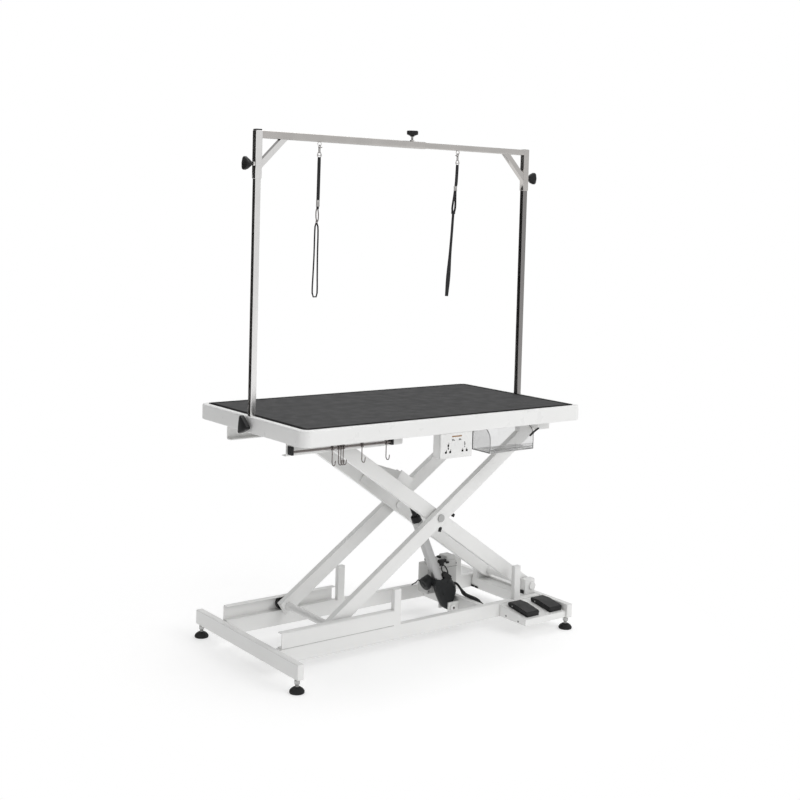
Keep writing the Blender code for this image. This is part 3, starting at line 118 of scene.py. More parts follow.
class Look:
    """A material under construction, with short names for its nodes."""

    def __init__(self, name, colour, roughness, metallic=0.0):
        self.made = bpy.data.materials.new(name)
        self.made.use_nodes = True
        looks[name] = self.made
        self.tree = self.made.node_tree
        self.shader = self.tree.nodes["Principled BSDF"]
        self.set("Base Color", (*colour, 1.0))
        self.set("Roughness", roughness)
        self.set("Metallic", metallic)
        self.where = self.node("ShaderNodeTexCoord").outputs["Object"]
        self.normal = None

    def set(self, socket, value):
        self.shader.inputs[socket].default_value = value

    def node(self, kind, inputs=(), **settings):
        return add_node(self.tree, kind, inputs, **settings)

    def join(self, out, socket):
        self.tree.links.new(out, self.shader.inputs[socket])

    def noise(self, scale, detail=3.0, rough=0.55, stretch=None, distortion=0.0):
        at = self.where
        if stretch:
            at = self.node("ShaderNodeMapping", {"Scale": stretch, "Vector": at}).outputs["Vector"]
        inputs = {"Scale": scale, "Detail": detail, "Roughness": rough, "Distortion": distortion, "Vector": at}
        return self.node("ShaderNodeTexNoise", inputs).outputs["Fac"]

    def cells(self, scale):
        return self.node("ShaderNodeTexVoronoi", {"Scale": scale, "Vector": self.where}).outputs["Distance"]

    def waves(self, scale, direction="Z", distortion=0.0):
        inputs = {"Scale": scale, "Distortion": distortion, "Vector": self.where}
        return self.node("ShaderNodeTexWave", inputs, bands_direction=direction).outputs["Fac"]

    def spread(self, value, low, high, start=0.3, end=0.7):
        """Maps a texture's value from start..end to low..high."""
        inputs = {"From Min": start, "From Max": end, "To Min": low, "To Max": high, "Value": value}
        return self.node("ShaderNodeMapRange", inputs).outputs["Result"]

    def times(self, first, second, operation="MULTIPLY"):
        """Two values multiplied, or put through another operation."""
        return self.node("ShaderNodeMath", {0: first, 1: second}, operation=operation).outputs[0]

    def mix(self, factor, low, high):
        made = self.node("ShaderNodeMix", {"A": low, "B": (*high, 1.0), "Factor": factor}, data_type="RGBA")
        self.join(made.outputs["Result"], "Base Color")
        return made.outputs["Result"]

    def tint(self, factor, low, high):
        """Base colour between two colours by a factor."""
        return self.mix(factor, (*low, 1.0), high)

    def mottle(self, scale, detail, dark, pale):
        """Base colour that wanders between two colours."""
        return self.tint(self.spread(self.noise(scale, detail), 0.0, 1.0), dark, pale)

    def over(self, under, factor, colour):
        """Another colour laid over the base colour by a factor."""
        return self.mix(factor, under, colour)

    def rough(self, factor, low, high, start=0.3, end=0.7):
        self.join(self.spread(factor, low, high, start, end), "Roughness")

    def bump(self, height, strength, distance):
        """Relief on top of what was there before."""
        inputs = {"Strength": strength, "Distance": distance, "Height": height}
        if self.normal is not None:
            inputs["Normal"] = self.normal
        self.normal = self.node("ShaderNodeBump", inputs).outputs["Normal"]
        self.join(self.normal, "Normal")

    def occlusion_shade(self, reach):
        """Painted shade from ambient occlusion: 1 in inside corners, 0 in the open."""
        made = self.node("ShaderNodeAmbientOcclusion", {"Distance": reach}, samples=6)
        return self.spread(made.outputs["AO"], 1.0, 0.0, 0.35, 1.0)

    def places(self):
        """The X, Y and Z of a point, in the node's own frame."""
        return self.node("ShaderNodeSeparateXYZ", {"Vector": self.where}).outputs


def shade(colour, factor, more=0.0):
    """A colour made darker or paler."""
    return tuple(min(c * factor + more, 1.0) for c in colour)


def white_paint(name, colour=(0.80, 0.80, 0.79), gloss=0.34, peel=1.0):
    """Powder coat with painted shade in its corners (ambient occlusion in noisy patches), faint scuffs and orange
    peel.
    """
    look = Look(name, colour, gloss)
    base = look.mottle(3.2, 4.0, shade(colour, 0.965), shade(colour, 1.015))
    # Painted shade: corners darkened by ambient occlusion, broken into patches by noise.
    overlay_mask = look.times(look.occlusion_shade(0.012), look.spread(look.noise(60, 4.0), 0.25, 0.8))
    base = look.over(base, look.times(overlay_mask, 0.22), (0.42, 0.41, 0.39))
    scuffs = look.spread(look.noise(26, 8.0, 0.62, (1.0, 1.0, 3.0)), 0.0, 1.0, 0.69, 0.80)
    look.over(base, look.times(scuffs, 0.03), (0.55, 0.54, 0.52))
    look.rough(look.noise(14, 5.0), gloss - 0.06, gloss + 0.12)
    look.bump(look.noise(780, 2.0), 0.10 * peel, 0.0004)
    look.bump(look.noise(90, 2.0), 0.05 * peel, 0.0010)
    look.set("Coat Weight", 0.12)
    look.set("Coat Roughness", 0.22)


def steel(name, grain, colour, roughness, bump=0.03):
    """Brushed or polished steel, with its grain drawn out along an axis."""
    look = Look(name, colour, roughness, 1.0)
    stretch = {"X": (0.01, 1.0, 1.0), "Z": (1.0, 1.0, 0.01), "": (1.0, 1.0, 1.0)}[grain]
    lines = look.noise(1100 if grain else 500, 2.0, 0.5, stretch)
    both = look.times(lines, look.noise(12, 4.0, 0.5), "ADD")
    look.tint(look.spread(both, 0.0, 1.0, 0.7, 1.3), shade(colour, 0.94), shade(colour, 1.04))
    look.rough(both, roughness - 0.04, roughness + 0.06, 0.7, 1.3)
    look.bump(lines, bump, 0.0001)


def steel_joint(name, limit, left, right):
    """Steel that changes from the upright's tone to the bar's darker one where the two are butted; both tones are
    painted reflection.
    """
    look = Look(name, right, 0.22, 1.0)
    smears = look.spread(look.noise(12, 4.0, 0.5), 0.0, 1.0, 0.35, 0.65)
    base = look.tint(smears, shade(right, 0.94), shade(right, 1.04))
    look.over(base, look.spread(look.places()["X"], 1.0, 0.0, limit - 0.0003, limit + 0.0003), left)


def plastic(name, colour, roughness, grain=900, depth=0.12, spread=0.10, pale=1.25, shine=0.5):
    """Moulded plastic with a fine grain and a few scuffs."""
    look = Look(name, colour, roughness)
    look.set("Specular IOR Level", shine)
    base = look.mottle(9, 5.0, shade(colour, 0.88), shade(colour, pale))
    scuffs = look.spread(look.noise(70, 7.0, 0.62), 0.0, 1.0, 0.66, 0.80)
    look.over(base, look.times(scuffs, 0.25), shade(colour, 1.3, 0.02))
    look.rough(look.noise(30, 5.0), roughness - spread / 2, roughness + spread)
    look.bump(look.noise(grain, 2.0), depth, 0.0003)


def rubber_mat(name, half_x, half_y, border):
    """Grooming mat: charcoal rubber with a fine pebbled face and a smooth black border."""
    look = Look(name, (0.044, 0.044, 0.045), 0.72)
    pebble = look.cells(420)
    base = look.mottle(5.0, 4.0, (0.031, 0.031, 0.032), (0.037, 0.037, 0.038))
    base = look.over(base, look.spread(pebble, 0.35, 0.0, 0.05, 0.5), (0.050, 0.050, 0.051))
    hairs = look.spread(look.noise(36, 8.0, 0.66, (1.0, 0.25, 1.0), 1.5), 0.0, 1.0, 0.72, 0.84)
    base = look.over(base, look.times(hairs, 0.12), (0.08, 0.08, 0.08))
    places = look.places()
    edges = []
    for axis, half in (("X", half_x), ("Y", half_y)):
        away = look.times(places[axis], 0.0, "ABSOLUTE")
        edges.append(look.spread(away, 0.0, 1.0, half - border - 0.0006, half - border + 0.0006))
    edge = look.times(*edges, "MAXIMUM")
    look.over(base, edge, (0.012, 0.012, 0.012))
    look.rough(look.noise(22, 4.0), 0.66, 0.84)
    look.bump(pebble, 0.40, 0.0006)
    look.bump(look.noise(1500, 2.0), 0.15, 0.0003)
    look.join(look.spread(edge, 0.32, 0.02, 0.0, 1.0), "Specular IOR Level")


def black_rubber(name):
    """Matt rubber with a little dust."""
    look = Look(name, (0.014, 0.014, 0.015), 0.62)
    look.set("Specular IOR Level", 0.3)
    base = look.mottle(25, 4.0, (0.010, 0.010, 0.0105), (0.017, 0.017, 0.0175))
    overlay_mask = look.times(look.spread(look.noise(90, 5.0), 0.0, 1.0, 0.5, 0.75), 0.35)
    look.over(base, overlay_mask, (0.040, 0.039, 0.037))
    look.rough(look.noise(50, 4.0), 0.52, 0.76)
    look.bump(look.noise(700, 3.0), 0.18, 0.0003)


def threaded(name):
    """Zinc-plated stud: the thread is a fine wave along it."""
    look = Look(name, (0.55, 0.55, 0.54), 0.32, 1.0)
    look.mottle(300, 3.0, (0.42, 0.42, 0.41), (0.62, 0.62, 0.61))
    look.rough(look.noise(200, 3.0), 0.26, 0.46)
    look.bump(look.waves(230), 0.9, 0.0005)


def acrylic(name, colour, roughness):
    """Clear sheet, a little uneven."""
    look = Look(name, colour, roughness)
    look.set("Transmission Weight", 1.0)
    look.set("IOR", 1.45)
    look.rough(look.noise(12, 5.0), roughness - 0.02, roughness + 0.05)
    look.bump(look.noise(6, 2.0), 0.04, 0.002)


def webbing(name, ribs):
    """Woven nylon: ribs across, fine twill along, and a faint sheen."""
    look = Look(name, (0.020, 0.020, 0.021), 0.74)
    weave = look.times(look.waves(ribs / 2, "Z", 0.6), look.waves(ribs / 1.6, "DIAGONAL", 0.4))
    base = look.tint(look.spread(weave, 0.0, 1.0, 0.0, 0.8), (0.006, 0.006, 0.007), (0.019, 0.019, 0.020))
    look.over(base, look.spread(look.noise(500, 4.0), 0.0, 0.30, 0.55, 0.75), (0.03, 0.03, 0.031))
    look.rough(look.noise(300, 3.0), 0.66, 0.85)
    look.bump(weave, 0.6, 0.0006)
    look.set("Sheen Weight", 0.10)
    look.set("Sheen Roughness", 0.4)


def plain(name, colour, roughness, metallic=0.0, bump=0.08):
    """One colour with a slight unevenness."""
    look = Look(name, colour, roughness, metallic)
    look.mottle(40, 4.0, shade(colour, 0.9), shade(colour, 1.1))
    look.rough(look.noise(60, 4.0), roughness - 0.05, roughness + 0.1)
    look.bump(look.noise(400, 3.0), bump, 0.0003)


# Painted reflection: uprights and bar are one steel; the upright's pale tone and the bar's darker one stand for what
# each mirrors.
UPRIGHT_REFLECTION_TONE = (0.88, 0.87, 0.86)
LEVEL_REFLECTION_TONE = (0.58, 0.56, 0.54)
white_paint("white_powder_coat")
white_paint("white_top_coat", (0.82, 0.82, 0.812), 0.30, 0.8)
steel("steel_upright", "Z", UPRIGHT_REFLECTION_TONE, 0.20, 0.01)
steel("steel_level", "X", LEVEL_REFLECTION_TONE, 0.22)
# Painted shade: a darker copy of the same steel, standing for the dark reflection on the right post and on the
# brace's upper faces.
steel("steel_shaded", "Z", (0.29, 0.28, 0.275), 0.22, 0.01)
steel("zinc_plate", "", (0.46, 0.46, 0.455), 0.34, 0.10)
steel("grey_extrusion", "", (0.50, 0.50, 0.50), 0.42, 0.08)
plastic("black_moulding", (0.011, 0.011, 0.0115), 0.44, shine=0.3)
plastic("black_gear_case", (0.013, 0.014, 0.015), 0.46, 600, 0.25, shine=0.3)
plastic("white_moulding", (0.82, 0.82, 0.81), 0.26, 1200, 0.04, 0.06, 1.02)
plastic("grey_moulding", (0.58, 0.58, 0.57), 0.44, 900, 0.16, 0.08, 1.04)
plastic("grey_side", (0.82, 0.82, 0.81), 0.36, 900, 0.08, 0.06, 1.03)
# Near-black for the socket slots: painted shade where the holes are.
plastic("slot_painted_shade", (0.003, 0.003, 0.003), 0.7, shine=0.0)
plastic("amber_plastic", (0.29, 0.17, 0.085), 0.38, 1200, 0.05)
rubber_mat("mat_rubber", half_x=0.5797, half_y=0.3147, border=0.019)
black_rubber("foot_rubber")
black_rubber("cable_rubber")
threaded("stud_thread")
acrylic("clear_acrylic_sheet", (0.79, 0.79, 0.79), 0.06)
webbing("noose_webbing", 330.0)
webbing("noose_cord", 520.0)
plain("chrome_trim", (0.46, 0.45, 0.44), 0.16, 1.0, 0.03)
plain("sheet_edge", (0.42, 0.42, 0.42), 0.3)
# Dark brownish steel for the hook rail, hooks and small fittings; on the hook rail the dark colour is painted
# reflection.
plain("dark_steel_and_reflection", (0.20, 0.18, 0.175), 0.20, 1.0, 0.03)
plain("slot_grey", (0.20, 0.20, 0.20), 0.6)
# Grey for the painted shadow line along the front channel's joint.
plain("shadow_line_paint", (0.50, 0.50, 0.49), 0.5)

# CAD nodes: welded, shaded smooth across their chamfers, and given these materials


def dress(name, look, angle=50, bevel=0.0):
    """Gives a CAD node its material, soft edges if asked for, and smooth shading below an angle."""
    node = nodes[name]
    mesh = node.data
    if "custom_normal" in mesh.attributes:
        mesh.attributes.remove(mesh.attributes["custom_normal"])
    mesh.materials.clear()
    mesh.materials.append(looks[look])
    mesh.shade_smooth()
    for polygon in mesh.polygons:
        polygon.material_index = 0
    weld = node.modifiers.new("weld", "WELD")
    weld.merge_threshold = 0.00002
    if bevel:
        soften = node.modifiers.new("soften", "BEVEL")
        soften.width = bevel
        soften.segments = 2
        soften.limit_method = "ANGLE"
        soften.angle_limit = math.radians(40)
        soften.use_clamp_overlap = True
    split = node.modifiers.new("split", "EDGE_SPLIT")
    split.split_angle = math.radians(angle)
    weigh = node.modifiers.new("weigh", "WEIGHTED_NORMAL")
    weigh.keep_sharp = True


def recolour(name, look, test):
    """Gives another material to the faces of a CAD node that pass a test."""
    mesh = nodes[name].data
    mesh.materials.append(looks[look])
    index = len(mesh.materials) - 1
    for polygon in mesh.polygons:
        if test(polygon):
            polygon.material_index = index


FEET = {
    "level_foot_front_left": (-0.585, -0.3105),
    "level_foot_front_right": (0.574, -0.3105),
    "level_foot_rear_left": (-0.585, 0.3105),
    "level_foot_rear_right": (0.574, 0.3105),
}
for name in (
    "base_rail_front", "base_rail_rear", "base_beam_left", "base_beam_right", "base_cross_tube", "pedal_tray",
    "inner_arm_front", "inner_arm_rear", "outer_arm_front", "outer_arm_rear", "inner_cross_beam", "top_underframe",
    "outer_roller_axle", "upper_pivot_shaft", "lower_pivot_shaft", "centre_bolt_rear",
):
    dress(name, "white_powder_coat")
for name in (
    "actuator_rod", "roller_lower_front", "roller_lower_rear", "roller_upper_front", "roller_upper_rear",
):
    dress(name, "black_moulding")
for name, look in (
    ("tabletop", "white_top_coat"), ("rubber_mat", "mat_rubber"), ("post_left", "steel_upright"),
    ("post_right", "steel_shaded"), ("arch_left", "steel_upright"), ("arch_right", "steel_level"),
    ("inner_roller_axle", "zinc_plate"), ("centre_bolt_front", "zinc_plate"), ("actuator_housing", "black_gear_case"),
    ("actuator_tube", "grey_extrusion"), ("control_box", "grey_moulding"), ("hook_rail", "dark_steel_and_reflection"),
    ("socket_box", "grey_side"), ("socket_plate", "white_moulding"),
):
    dress(name, look)
for name in FEET:
    dress(name, "foot_rubber", 40)
for side in ("left", "right"):
    dress("pedal_" + side, "black_moulding", 20, 0.0015)
    dress("pedal_base_" + side, "black_moulding", 40)
    dress("noose_snap_" + side, "chrome_trim", 60)
dress("tool_tray", "clear_acrylic_sheet", 30)
for i in range(1, 7):
    dress(f"hook_{i}", "dark_steel_and_reflection", 60)
dress("bar_knob", "black_moulding", 75)

# Where materials change: the bar and its butt joint, the hook rail's caps, the studs and the tube's end

BAR_HIGH = 1.75325
BAR_LOW = BAR_HIGH - 0.0252
JOINT_X = -0.5735
HOOK_CAPS = (-0.5495, -0.1645)
STUD_LOW = 0.0197
STUD_R = 0.0052
BAR_KNOB_X = 0.045
CAP_SEAM = 0.0006
ACT_LOW = Vector((0.250, -0.021, 0.062))
ACT_DIR = Vector((-0.4148, 0, 0.9099))
ACT_LEFT = Vector((-0.9099, 0, -0.4148))
TUBE_CAP = 0.366 - 0.0025

# Painted reflection: the left arch's bar faces change from the upright's tone to the bar's at the joint.
joint_x = (nodes["arch_left"].matrix_world.inverted() @ Vector((JOINT_X, 0, 0))).x
steel_joint("steel_joint", joint_x, UPRIGHT_REFLECTION_TONE, LEVEL_REFLECTION_TONE)
recolour("arch_left", "steel_joint", lambda face: face.center.z > BAR_LOW)
# Painted shade: the brace's upper-left faces take the darker copy of the steel.
recolour("arch_left", "steel_shaded", lambda face: face.normal.x < -0.5 and face.normal.z > 0.5)
recolour("arch_left", "black_moulding", lambda face: face.center.z > BAR_HIGH + CAP_SEAM and face.center.x < -0.5)
for name in FEET:
    recolour(name, "stud_thread", lambda face: face.center.z > STUD_LOW)
recolour("actuator_tube", "black_moulding", lambda face: (face.center - ACT_LOW).dot(ACT_DIR) > TUBE_CAP)
recolour("hook_rail", "black_moulding", lambda face: not HOOK_CAPS[0] <= face.center.x <= HOOK_CAPS[1])
recolour("bar_knob", "stud_thread", lambda face: math.hypot(face.center.x - BAR_KNOB_X, face.center.y) < STUD_R)

# Tools for the pieces that are made here

FRONT = (0, -1, 0)
UP = (0, 0, 1)
FINE_STEPS = 24


def piece(name, bm, look, body, smooth=40):
    """A mesh piece that rides on a body, shaded smooth below an angle."""
    bmesh.ops.recalc_face_normals(bm, faces=bm.faces)
    mesh = bpy.data.meshes.new(name)
    bm.to_mesh(mesh)
    bm.free()
    mesh.shade_smooth()
    mesh.set_sharp_from_angle(angle=math.radians(smooth))
    made = bpy.data.objects.new(name, mesh)
    scene.collection.objects.link(made)
    mesh.materials.append(looks[look])
    if body:
        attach(made, body)
    return made


def rings_along(bm, sections, closed=False):
    """Skins a row of vertex rings, with caps unless it is closed."""
    rings = [[bm.verts.new(p) for p in section] for section in sections]
    pairs = list(zip(rings, rings[1:]))
    if closed:
        pairs.append((rings[-1], rings[0]))
    else:
        bm.faces.new(rings[0])
        bm.faces.new(rings[-1])
    for first, second in pairs:
        for i in range(len(first)):
            j = (i + 1) % len(first)
            bm.faces.new((first[i], first[j], second[j], second[i]))


def smooth_path(points, count):
    """Points evenly spaced on a smooth curve through the given ones."""
    knots = [Vector(p) for p in points]
    padded = [knots[0] * 2 - knots[1], *knots, knots[-1] * 2 - knots[-2]]
    fine = []
    for a, b, c, d in zip(padded, padded[1:], padded[2:], padded[3:]):
        for k in range(FINE_STEPS):
            t = k / FINE_STEPS
            square = (2 * a - 5 * b + 4 * c - d) * t * t
            cube = (3 * b - a - 3 * c + d) * t ** 3
            fine.append(0.5 * ((2 * b) + (c - a) * t + square + cube))
    fine.append(knots[-1])
    reach = [0.0]
    for a, b in zip(fine, fine[1:]):
        reach.append(reach[-1] + (b - a).length)
    found = []
    at = 0
    for i in range(count):
        goal = reach[-1] * i / (count - 1)
        while at < len(reach) - 2 and reach[at + 1] < goal:
            at += 1
        span = reach[at + 1] - reach[at]
        found.append(fine[at].lerp(fine[at + 1], (goal - reach[at]) / span if span else 0))
    return found


def sweep(bm, path, outline, closed=False, side=None, shape=None):
    """Carries an outline along a path without twist. shape(i, n) may give an outline for each point."""
    count = len(path)
    sections = []
    for i, point in enumerate(path):
        before = path[i - 1] if closed or i else path[0]
        after = path[(i + 1) % count] if closed or i < count - 1 else path[-1]
        forward = (after - before).normalized()
        if side is None:
            side = forward.orthogonal().normalized()
        side = (side - forward * side.dot(forward)).normalized()
        other = forward.cross(side)
        section = shape(i, count) if shape else outline
        sections.append([point + side * u + other * v for u, v in section])
    rings_along(bm, sections, closed)


def circle(radius, sides=12):
    angles = [2 * math.pi * k / sides for k in range(sides)]
    return [(radius * math.cos(a), radius * math.sin(a)) for a in angles]


def slab(wide, thick, corner=None, steps=3):
    """Outline of a flat band with round edges."""
    corner = thick * 0.45 if corner is None else corner
    out_u, out_v = wide / 2 - corner, thick / 2 - corner
    outline = []
    for su, sv, start in ((1, 1, 0), (-1, 1, 90), (-1, -1, 180), (1, -1, 270)):
        for k in range(steps + 1):
            a = math.radians(start + 90 * k / steps)
            outline.append((su * out_u + corner * math.cos(a), sv * out_v + corner * math.sin(a)))
    return outline


def turned(bm, profile, at, axis, sides=24):
    """Turns (radius, height) points about a direction through a point."""
    turn = Vector(axis).to_track_quat("Z", "Y").to_matrix()
    at = Vector(at)
    rings = []
    for radius, height in profile:
        if radius == 0:
            rings.append([bm.verts.new(at + turn @ Vector((0, 0, height)))])
            continue
        rings.append([bm.verts.new(at + turn @ Vector((u, v, height))) for u, v in circle(radius, sides)])
    for first, second in zip(rings, rings[1:]):
        for i in range(sides):
            j = (i + 1) % sides
            corners = [ring[n % len(ring)] for ring, n in ((first, i), (first, j), (second, j), (second, i))]
            bm.faces.new(list(dict.fromkeys(corners)))


def block(bm, middle, size, soft, across=(1, 0, 0), over=(0, 0, 1)):
    """Adds a box with rounded edges, its length along across and its height along over."""
    part = bmesh.new()
    bmesh.ops.create_cube(part, size=1.0)
    bmesh.ops.scale(part, vec=size, verts=part.verts)
    bmesh.ops.bevel(part, geom=part.edges[:], offset=soft, segments=2, profile=0.6, affect="EDGES")
    across = Vector(across).normalized()
    over = Vector(over)
    over = (over - across * over.dot(across)).normalized()
    behind = over.cross(across)
    turn = Matrix((across, behind, over)).transposed().to_4x4()
    part.transform(Matrix.Translation(middle) @ turn)
    spare = bpy.data.meshes.new("spare")
    part.to_mesh(spare)
    part.free()
    bm.from_mesh(spare)
    bpy.data.meshes.remove(spare)


def bolt(bm, at, axis, radius, tall):
    """Adds a hexagon head."""
    turned(bm, ((0, 0), (radius, 0), (radius, tall - 0.0008), (radius * 0.88, tall), (0, tall)), at, axis, 6)


def screw(bm, at, axis, radius, tall):
    """Adds a pan head with a dished middle."""
    rim = ((0, 0), (radius, 0), (radius, tall * 0.55), (radius * 0.8, tall))
    dish = ((radius * 0.4, tall), (radius * 0.3, tall * 0.5), (0, tall * 0.5))
    turned(bm, (*rim, *dish), at, axis, 16)


# Nooses: flat webbing from the ring to a crimp, then a cord loop on a link at the left, doubled webbing at the right

BAR_Z = 1.741
LEFT_X = -0.345
RIGHT_X = 0.255
STRAP_DROP = 0.0125
LEFT_WEB = (0.0120, 0.0058)
RIGHT_WEB = (0.0122, 0.0058)
LOOP_R = 0.0027
left_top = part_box("noose_strap_left")[1].z
right_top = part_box("noose_strap_right")[1].z


def hung(x, rows):
    """Points in the arch's plane, as rows of how far they are beside x and below the bar's middle."""
    return [(x + aside, 0, BAR_Z - below) for aside, below in rows]


def strap(name, points, wide, thick, body, ends=None, count=26, turn=(1, 0, 0), shape=None):
    """Flat webbing along a route."""
    path = smooth_path(points, count)
    bm = bmesh.new()
    sweep(bm, path, slab(wide, thick), side=Vector(turn), shape=shape)
    made = piece(name, bm, "noose_webbing", body)
    return made


def strap_shape(wide, thick):
    """Webbing that is pinched where it enters its crimp and a little at its ring."""

    def at(i, n):
        t = i / (n - 1)
        crimped = 0.30 * math.exp(-((t - 1) / 0.06) ** 2)
        return slab(wide * (1 - crimped - 0.06 * math.exp(-(t / 0.05) ** 2)), thick)

    return at


def crimp(name, at, tall, wide, thick, body):
    """A folded metal sleeve round the webbing, with rolled ends."""
    bm = bmesh.new()
    half = ((0.30, 0.93), (0.36, 1.0), (0.47, 1.0), (0.5, 0.90))
    sections = []
    for t, s in (*((-t, s) for t, s in reversed(half)), *half):
        sections.append([Vector(at) + Vector((u, v, t * tall)) for u, v in slab(wide * s, thick * s)])
    rings_along(bm, sections)
    return piece(name, bm, "chrome_trim", body, 60)


def wire_ring(name, middle, first, second, radius, body, steps=28, look="chrome_trim"):
    """A closed wire ring spanned by two half axes."""
    bm = bmesh.new()
    path = []
    for k in range(steps):
        a = 2 * math.pi * k / steps
        path.append(Vector(middle) + Vector(first) * math.cos(a) + Vector(second) * math.sin(a))
    sweep(bm, path, circle(radius, 8), closed=True)
    return piece(name, bm, look, body, 60)


left_crimp = crimp("noose_left_crimp", (LEFT_X - 0.0012, 0, BAR_Z - 0.2170), 0.022, 0.0130, 0.0084, "noose_left")
left_strap = strap(
    "noose_left_strap",
    [
        (LEFT_X, 0, left_top - STRAP_DROP),
        *hung(LEFT_X, ((-0.0003, 0.100), (-0.0005, 0.131), (-0.001, 0.196), (-0.0020, 0.2375))),
    ],
    *LEFT_WEB, "noose_left", [left_crimp], shape=strap_shape(*LEFT_WEB),
)
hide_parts("noose_strap_left")
z_link = BAR_Z - 0.230
z_loop = BAR_Z - 0.283
z_end = BAR_Z - 0.536
loop_x = LEFT_X - 0.005
loop_points = [
    (loop_x + aside, front, z)
    for aside, front, z in (
        (0.0012, 0.0005, z_loop + 0.0005), (0.0060, 0, z_loop - 0.012), (0.0072, 0, z_loop - 0.040),
        (0.0070, 0, z_loop - 0.110), (0.0082, 0, z_loop - 0.180), (0.0092, 0, z_end + 0.030),
        (0.0078, 0, z_end + 0.009), (0.0000, 0, z_end + 0.0012), (-0.0088, 0, z_end + 0.009),
        (-0.0108, 0, z_end + 0.030), (-0.0092, 0, z_loop - 0.180), (-0.0068, 0, z_loop - 0.110),
        (-0.0062, 0, z_loop - 0.040), (-0.0052, 0, z_loop - 0.012), (-0.0014, -0.0005, z_loop + 0.0005),
    )
]
link = wire_ring(
    "noose_left_link", (LEFT_X - 0.0030, 0, (z_link + z_loop) / 2), (0.0050, 0, 0),
    (-0.0008, 0, (z_link - z_loop) / 2 - 0.0042), 0.0020, "noose_left", look="dark_steel_and_reflection",
)
ring = wire_ring(
    "noose_left_ring", (LEFT_X - 0.0046, 0, z_loop + 0.0036), (0.0010, 0.0052, 0), (0, 0, 0.0064), 0.0015,
    "noose_left", 20, "dark_steel_and_reflection",
)
path = smooth_path(loop_points, 40)
curve = bpy.data.curves.new("noose_left_loop", "CURVE")
curve.dimensions = "3D"
curve.bevel_depth = LOOP_R
curve.bevel_resolution = 3
curve.use_fill_caps = True
spline = curve.splines.new("POLY")
spline.points.add(len(path) - 1)
for point, co in zip(spline.points, path):
    point.co = (*co, 1.0)
loop = bpy.data.objects.new("noose_left_loop", curve)
scene.collection.objects.link(loop)
curve.materials.append(looks["noose_cord"])
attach(loop, "noose_left")

right_crimp = crimp("noose_right_crimp", (RIGHT_X - 0.0060, 0, BAR_Z - 0.1470), 0.017, 0.0134, 0.0084, "noose_right")
right_strap = strap(
    "noose_right_strap",
    [
        (RIGHT_X, 0, right_top - STRAP_DROP),
        *hung(RIGHT_X, ((-0.0015, 0.100), (-0.003, 0.128), (-0.0057, 0.142))),
    ],
    *RIGHT_WEB, "noose_right", [right_crimp], shape=strap_shape(*RIGHT_WEB),
)
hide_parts("noose_strap_right")
bm = bmesh.new()
middle = Vector((RIGHT_X - 0.0128, 0, BAR_Z - 0.234))
sections = []
for t, s in ((-0.5, 0.86), (-0.4, 1.0), (0.4, 1.0), (0.5, 0.86)):
    sections.append([middle + Vector((u, v, t * 0.011)) for u, v in slab(0.0136 * s, 0.0108 * s, 0.003)])
rings_along(bm, sections)
slider = piece("noose_right_slider", bm, "black_moulding", "noose_right", 50)


def doubled(i, n):
    """The doubled webbing, seen on edge above and turning to its face below."""
    t = i / (n - 1)
    wide = 0.0098 + 0.0074 * math.exp(-(((t - 0.78) / 0.20) ** 2)) + 0.0014 * t
    return slab(wide, 0.0054 - 0.0006 * t, 0.0021)


tail = (
    (-0.0125, 0.228), (-0.0135, 0.250), (-0.017, 0.311), (-0.022, 0.385), (-0.027, 0.461), (-0.0328, 0.5385),
)
strap("noose_right_tail", hung(RIGHT_X, tail), 0.0125, 0.0050, "noose_right", shape=doubled)
for name, bow in (("noose_right_fold_a", 0.0066), ("noose_right_fold_b", -0.0062)):
    leg = (
        (-0.0064 + bow * 0.25, 0.152), (-0.0083 + bow * 0.60, 0.180), (-0.0104 + bow * 0.98, 0.206),
        (-0.0117 + bow, 0.221), (-0.0126 + bow * 0.5, 0.2355),
    )
    strap(name, hung(RIGHT_X, leg), 0.0085, 0.0052, "noose_right", [slider], count=20, turn=(0, 1, 0))

# Lead of the actuator

LEAD_R = 0.0045
LEAD_X, LEAD_Z = 0.27827, 0.13643
lead_points = [
    (LEAD_X, -0.021, LEAD_Z),
    (LEAD_X + 0.0066, -0.0215, LEAD_Z + 0.0030),
    (LEAD_X + 0.0130, -0.029, LEAD_Z - 0.0020),
    (LEAD_X + 0.0170, -0.045, LEAD_Z - 0.0165),
    (LEAD_X + 0.0210, -0.062, 0.1058),
    (LEAD_X + 0.0270, -0.084, 0.1010),
    (LEAD_X + 0.0330, -0.106, 0.0978),
    (LEAD_X + 0.0380, -0.129, 0.0903),
    (LEAD_X + 0.0395, -0.155, 0.0808),
]


def sheathed(i, n):
    """The lead, a little thicker where its sheath covers two wires."""
    t = i / (n - 1)
    more = 1 + 0.68 * min(max((t - 0.24) / 0.10, 0), 1) * min(max((0.84 - t) / 0.06, 0), 1)
    return [(u * more, v) for u, v in circle(LEAD_R, 12)]


path = smooth_path(lead_points, 36)
bm = bmesh.new()
sweep(bm, path, None, shape=sheathed)
lead = piece("actuator_cable", bm, "cable_rubber", None, 60)
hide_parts("actuator_lead")
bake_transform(lead)

# Actuator: ring under the flange, collar at the gear case, case seam and screws, motor band and wiring


def on_act(along, left, behind=0.0):
    """A point given along the actuator's axis, to its left and behind it."""
    return ACT_LOW + ACT_DIR * along + ACT_LEFT * left + Vector((0, behind, 0))


RING_LOW, RING_HIGH, RING_WIDE = 0.3560, 0.3630, 0.0330
bm = bmesh.new()
sections = []
for along, s in ((RING_LOW, 0.97), (RING_LOW + 0.001, 1.0), (RING_HIGH - 0.001, 1.0), (RING_HIGH, 0.97)):
    outline = slab(RING_WIDE * s, RING_WIDE * s, 0.006 * s, 4)
    sections.append([on_act(along, u, v) for u, v in outline])
rings_along(bm, sections)
piece("actuator_ring", bm, "zinc_plate", "actuator")

